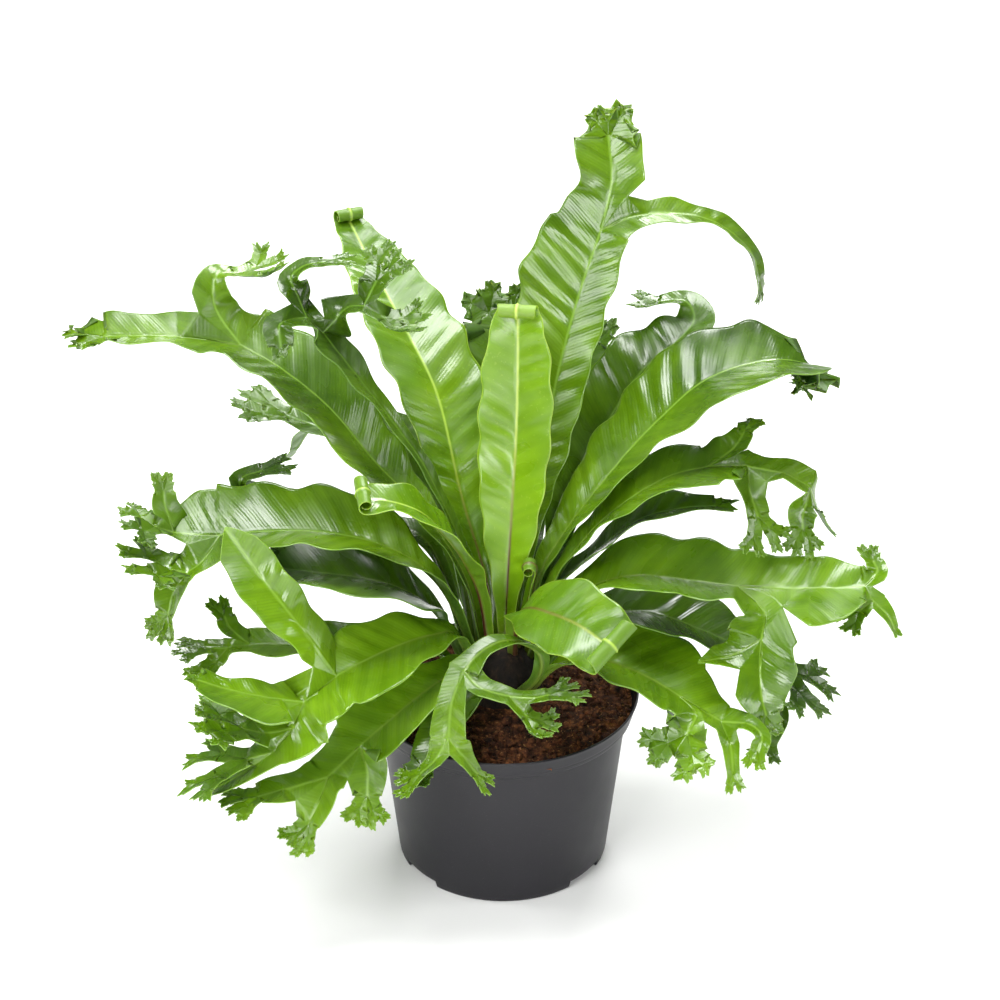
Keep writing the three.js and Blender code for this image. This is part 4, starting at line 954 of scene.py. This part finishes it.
def clodShape():
    # An octahedron with each face cut in four, all its points pushed out to radius 1.
    v = np.array([[1, 0, 0], [-1, 0, 0], [0, 1, 0], [0, -1, 0], [0, 0, 1], [0, 0, -1]], dtype=float)
    f = np.array([[0, 2, 4], [2, 1, 4], [1, 3, 4], [3, 0, 4], [2, 0, 5], [1, 2, 5], [3, 1, 5], [0, 3, 5]])
    edges = np.sort(np.concatenate([f[:, [0, 1]], f[:, [1, 2]], f[:, [2, 0]]]), 1)
    pairs, inverse = np.unique(edges, axis=0, return_inverse=True)
    a, b, c = inverse.reshape(3, -1) + len(v)
    x, y, z = f.T
    corners = [(x, a, c), (a, y, b), (c, b, z), (a, b, c)]
    points = np.concatenate([v, unit(v[pairs[:, 0]] + v[pairs[:, 1]])])
    return points, np.concatenate([np.stack(corner, 1) for corner in corners])


def buildSoil(s):
    # A bumpy cone with a skirt down the wall, strewn with clods that are turned and stretched at random.
    chance = np.random.default_rng(s["seed"])
    radii = np.concatenate([np.linspace(26, 90, 100), [90.3]])
    flat = turned(radii[:, None], 0.0, s["sides"])
    bumps = waveNoise(flat.reshape(-1, 3), 3, 0.16, 5).reshape(flat.shape[:2])
    z = np.interp(radii, s["radii"], s["heights"])[:, None] + bumps * s["bumps"]
    z[-1] -= 1.5
    skirt = np.array(s["skirt"])
    grid = np.concatenate([turned(radii[:, None], z, s["sides"]), turned(skirt[:, :1], skirt[:, 1:], s["sides"])])
    blocks = [grid.reshape(-1, 3)]
    faceBlocks = [stripFaces(len(grid), s["sides"])[:, ::-1]]
    count = len(blocks[0])
    ball, ballFaces = clodShape()
    for k in range(s["clods"]):
        size = 1.0 + 2.6 * chance.random() ** 3
        r = 28 + 61 * np.sqrt(chance.random())
        a = chance.uniform(0, 2 * np.pi)
        stretch = chance.uniform(0.6, 1.25, 3) * size
        lump = ball * (1 + 0.28 * chance.normal(size=(len(ball), 1))) * stretch
        lump = turn(lump, unit(chance.normal(size=3)), np.array(chance.uniform(0, 3)))
        row = int(np.argmin(np.abs(radii - r)))
        place = grid[row, int(a / (2 * np.pi) * s["sides"]) % s["sides"]] + [0, 0, size * 0.25]
        place[2] = min(place[2], s["highest"])
        blocks.append(lump + place)
        faceBlocks.append(ballFaces + count)
        count += len(ball)
    return np.concatenate(blocks), np.concatenate(faceBlocks)


def soilMaterial(s):
    # Dark crumbly peat: brown clouds, near-black damp spots, tan crumbs, rough bump.
    material, tree, shader = newMaterial("pottingSoil")
    body = cloud(tree, 130.0, 6.0, 0.65).ramp((0.34, s["damp"]), (0.5, s["brown"]), (0.66, s["dry"]))
    body.blend((cloud(tree, 520.0, 2.0) > 0.66) * s["crumbShare"], s["crumb"]).feed(shader, "Base Color")
    shader.inputs["Roughness"].default_value = s["roughness"]
    shader.inputs["Specular IOR Level"].default_value = s["specular"]
    cloud(tree, 480.0, 6.0, 0.7).bump(shader, s["grain"], 1.0)
    return material


points, faces = buildSoil(soilShape)
settle(layMesh("pottingSoil", points, faces, smooth=False), "soil", "soil_mix", soilMaterial(soilShape))
print("soil laid:", len(faces), "triangles")


crownShape = {
    "sides": 220, "rows": 120,
    "heights": [118.0, 121.0, 129.0, 139.0, 150.0, 161.0, 166.0],
    "radii": [26.0, 26.8, 27.0, 26.5, 22.5, 14.0, 0.4],
    "combDepth": 1.1, "lumpDepth": 1.0,  # mm
    # All three browns are darkened nearly to black: painted shade for the crown, which sits deep under the fronds.
    "dark": "070503", "brown": "170f08", "light": "38281a",
    "roughness": 0.9, "specular": 0.3, "grain": 0.0009,  # grain in m
}


def buildCrown(c):
    # A lumpy dome with upright fibres: the radius is combed by fine waves round the axis.
    steps = np.hypot(np.diff(c["heights"]), np.diff(c["radii"]))
    along = np.concatenate([[0.0], np.cumsum(steps)])
    t = np.linspace(0, along[-1], c["rows"])
    z = np.interp(t, along, c["heights"])[:, None]
    r = np.interp(t, along, c["radii"])[:, None]
    grid = turned(r, z, c["sides"])
    comb = waveNoise(grid.reshape(-1, 3) * [1, 1, 0.22], 5, 0.5, 4).reshape(grid.shape[:2])
    lumps = waveNoise(grid.reshape(-1, 3), 6, 0.12, 2).reshape(grid.shape[:2])
    push = (comb * c["combDepth"] + lumps * c["lumpDepth"]) * np.minimum(1, r / 8.0)
    return closedStrip(turned(r + push, z, c["sides"]), c["heights"][0], c["heights"][-1] + 0.2)


def crownMaterial(c):
    # Brown scaly fibres in upright streaks, all kept near black as painted shade for the crown under the fronds.
    material, tree, shader = newMaterial("crownScales")
    tone = cloud(tree, 160.0, 5.0, 0.6, (1.0, 1.0, 0.25))
    tone.ramp((0.35, c["dark"]), (0.55, c["brown"]), (0.78, c["light"])).feed(shader, "Base Color")
    shader.inputs["Roughness"].default_value = c["roughness"]
    shader.inputs["Specular IOR Level"].default_value = c["specular"]
    cloud(tree, 420.0, 4.0, 0.6, (1.0, 1.0, 0.2)).bump(shader, c["grain"], 1.0)
    return material


points, faces = buildCrown(crownShape)
settle(layMesh("crownScales", points, faces), "crown", "crown_scales", crownMaterial(crownShape))
print("crown built:", len(faces), "triangles")
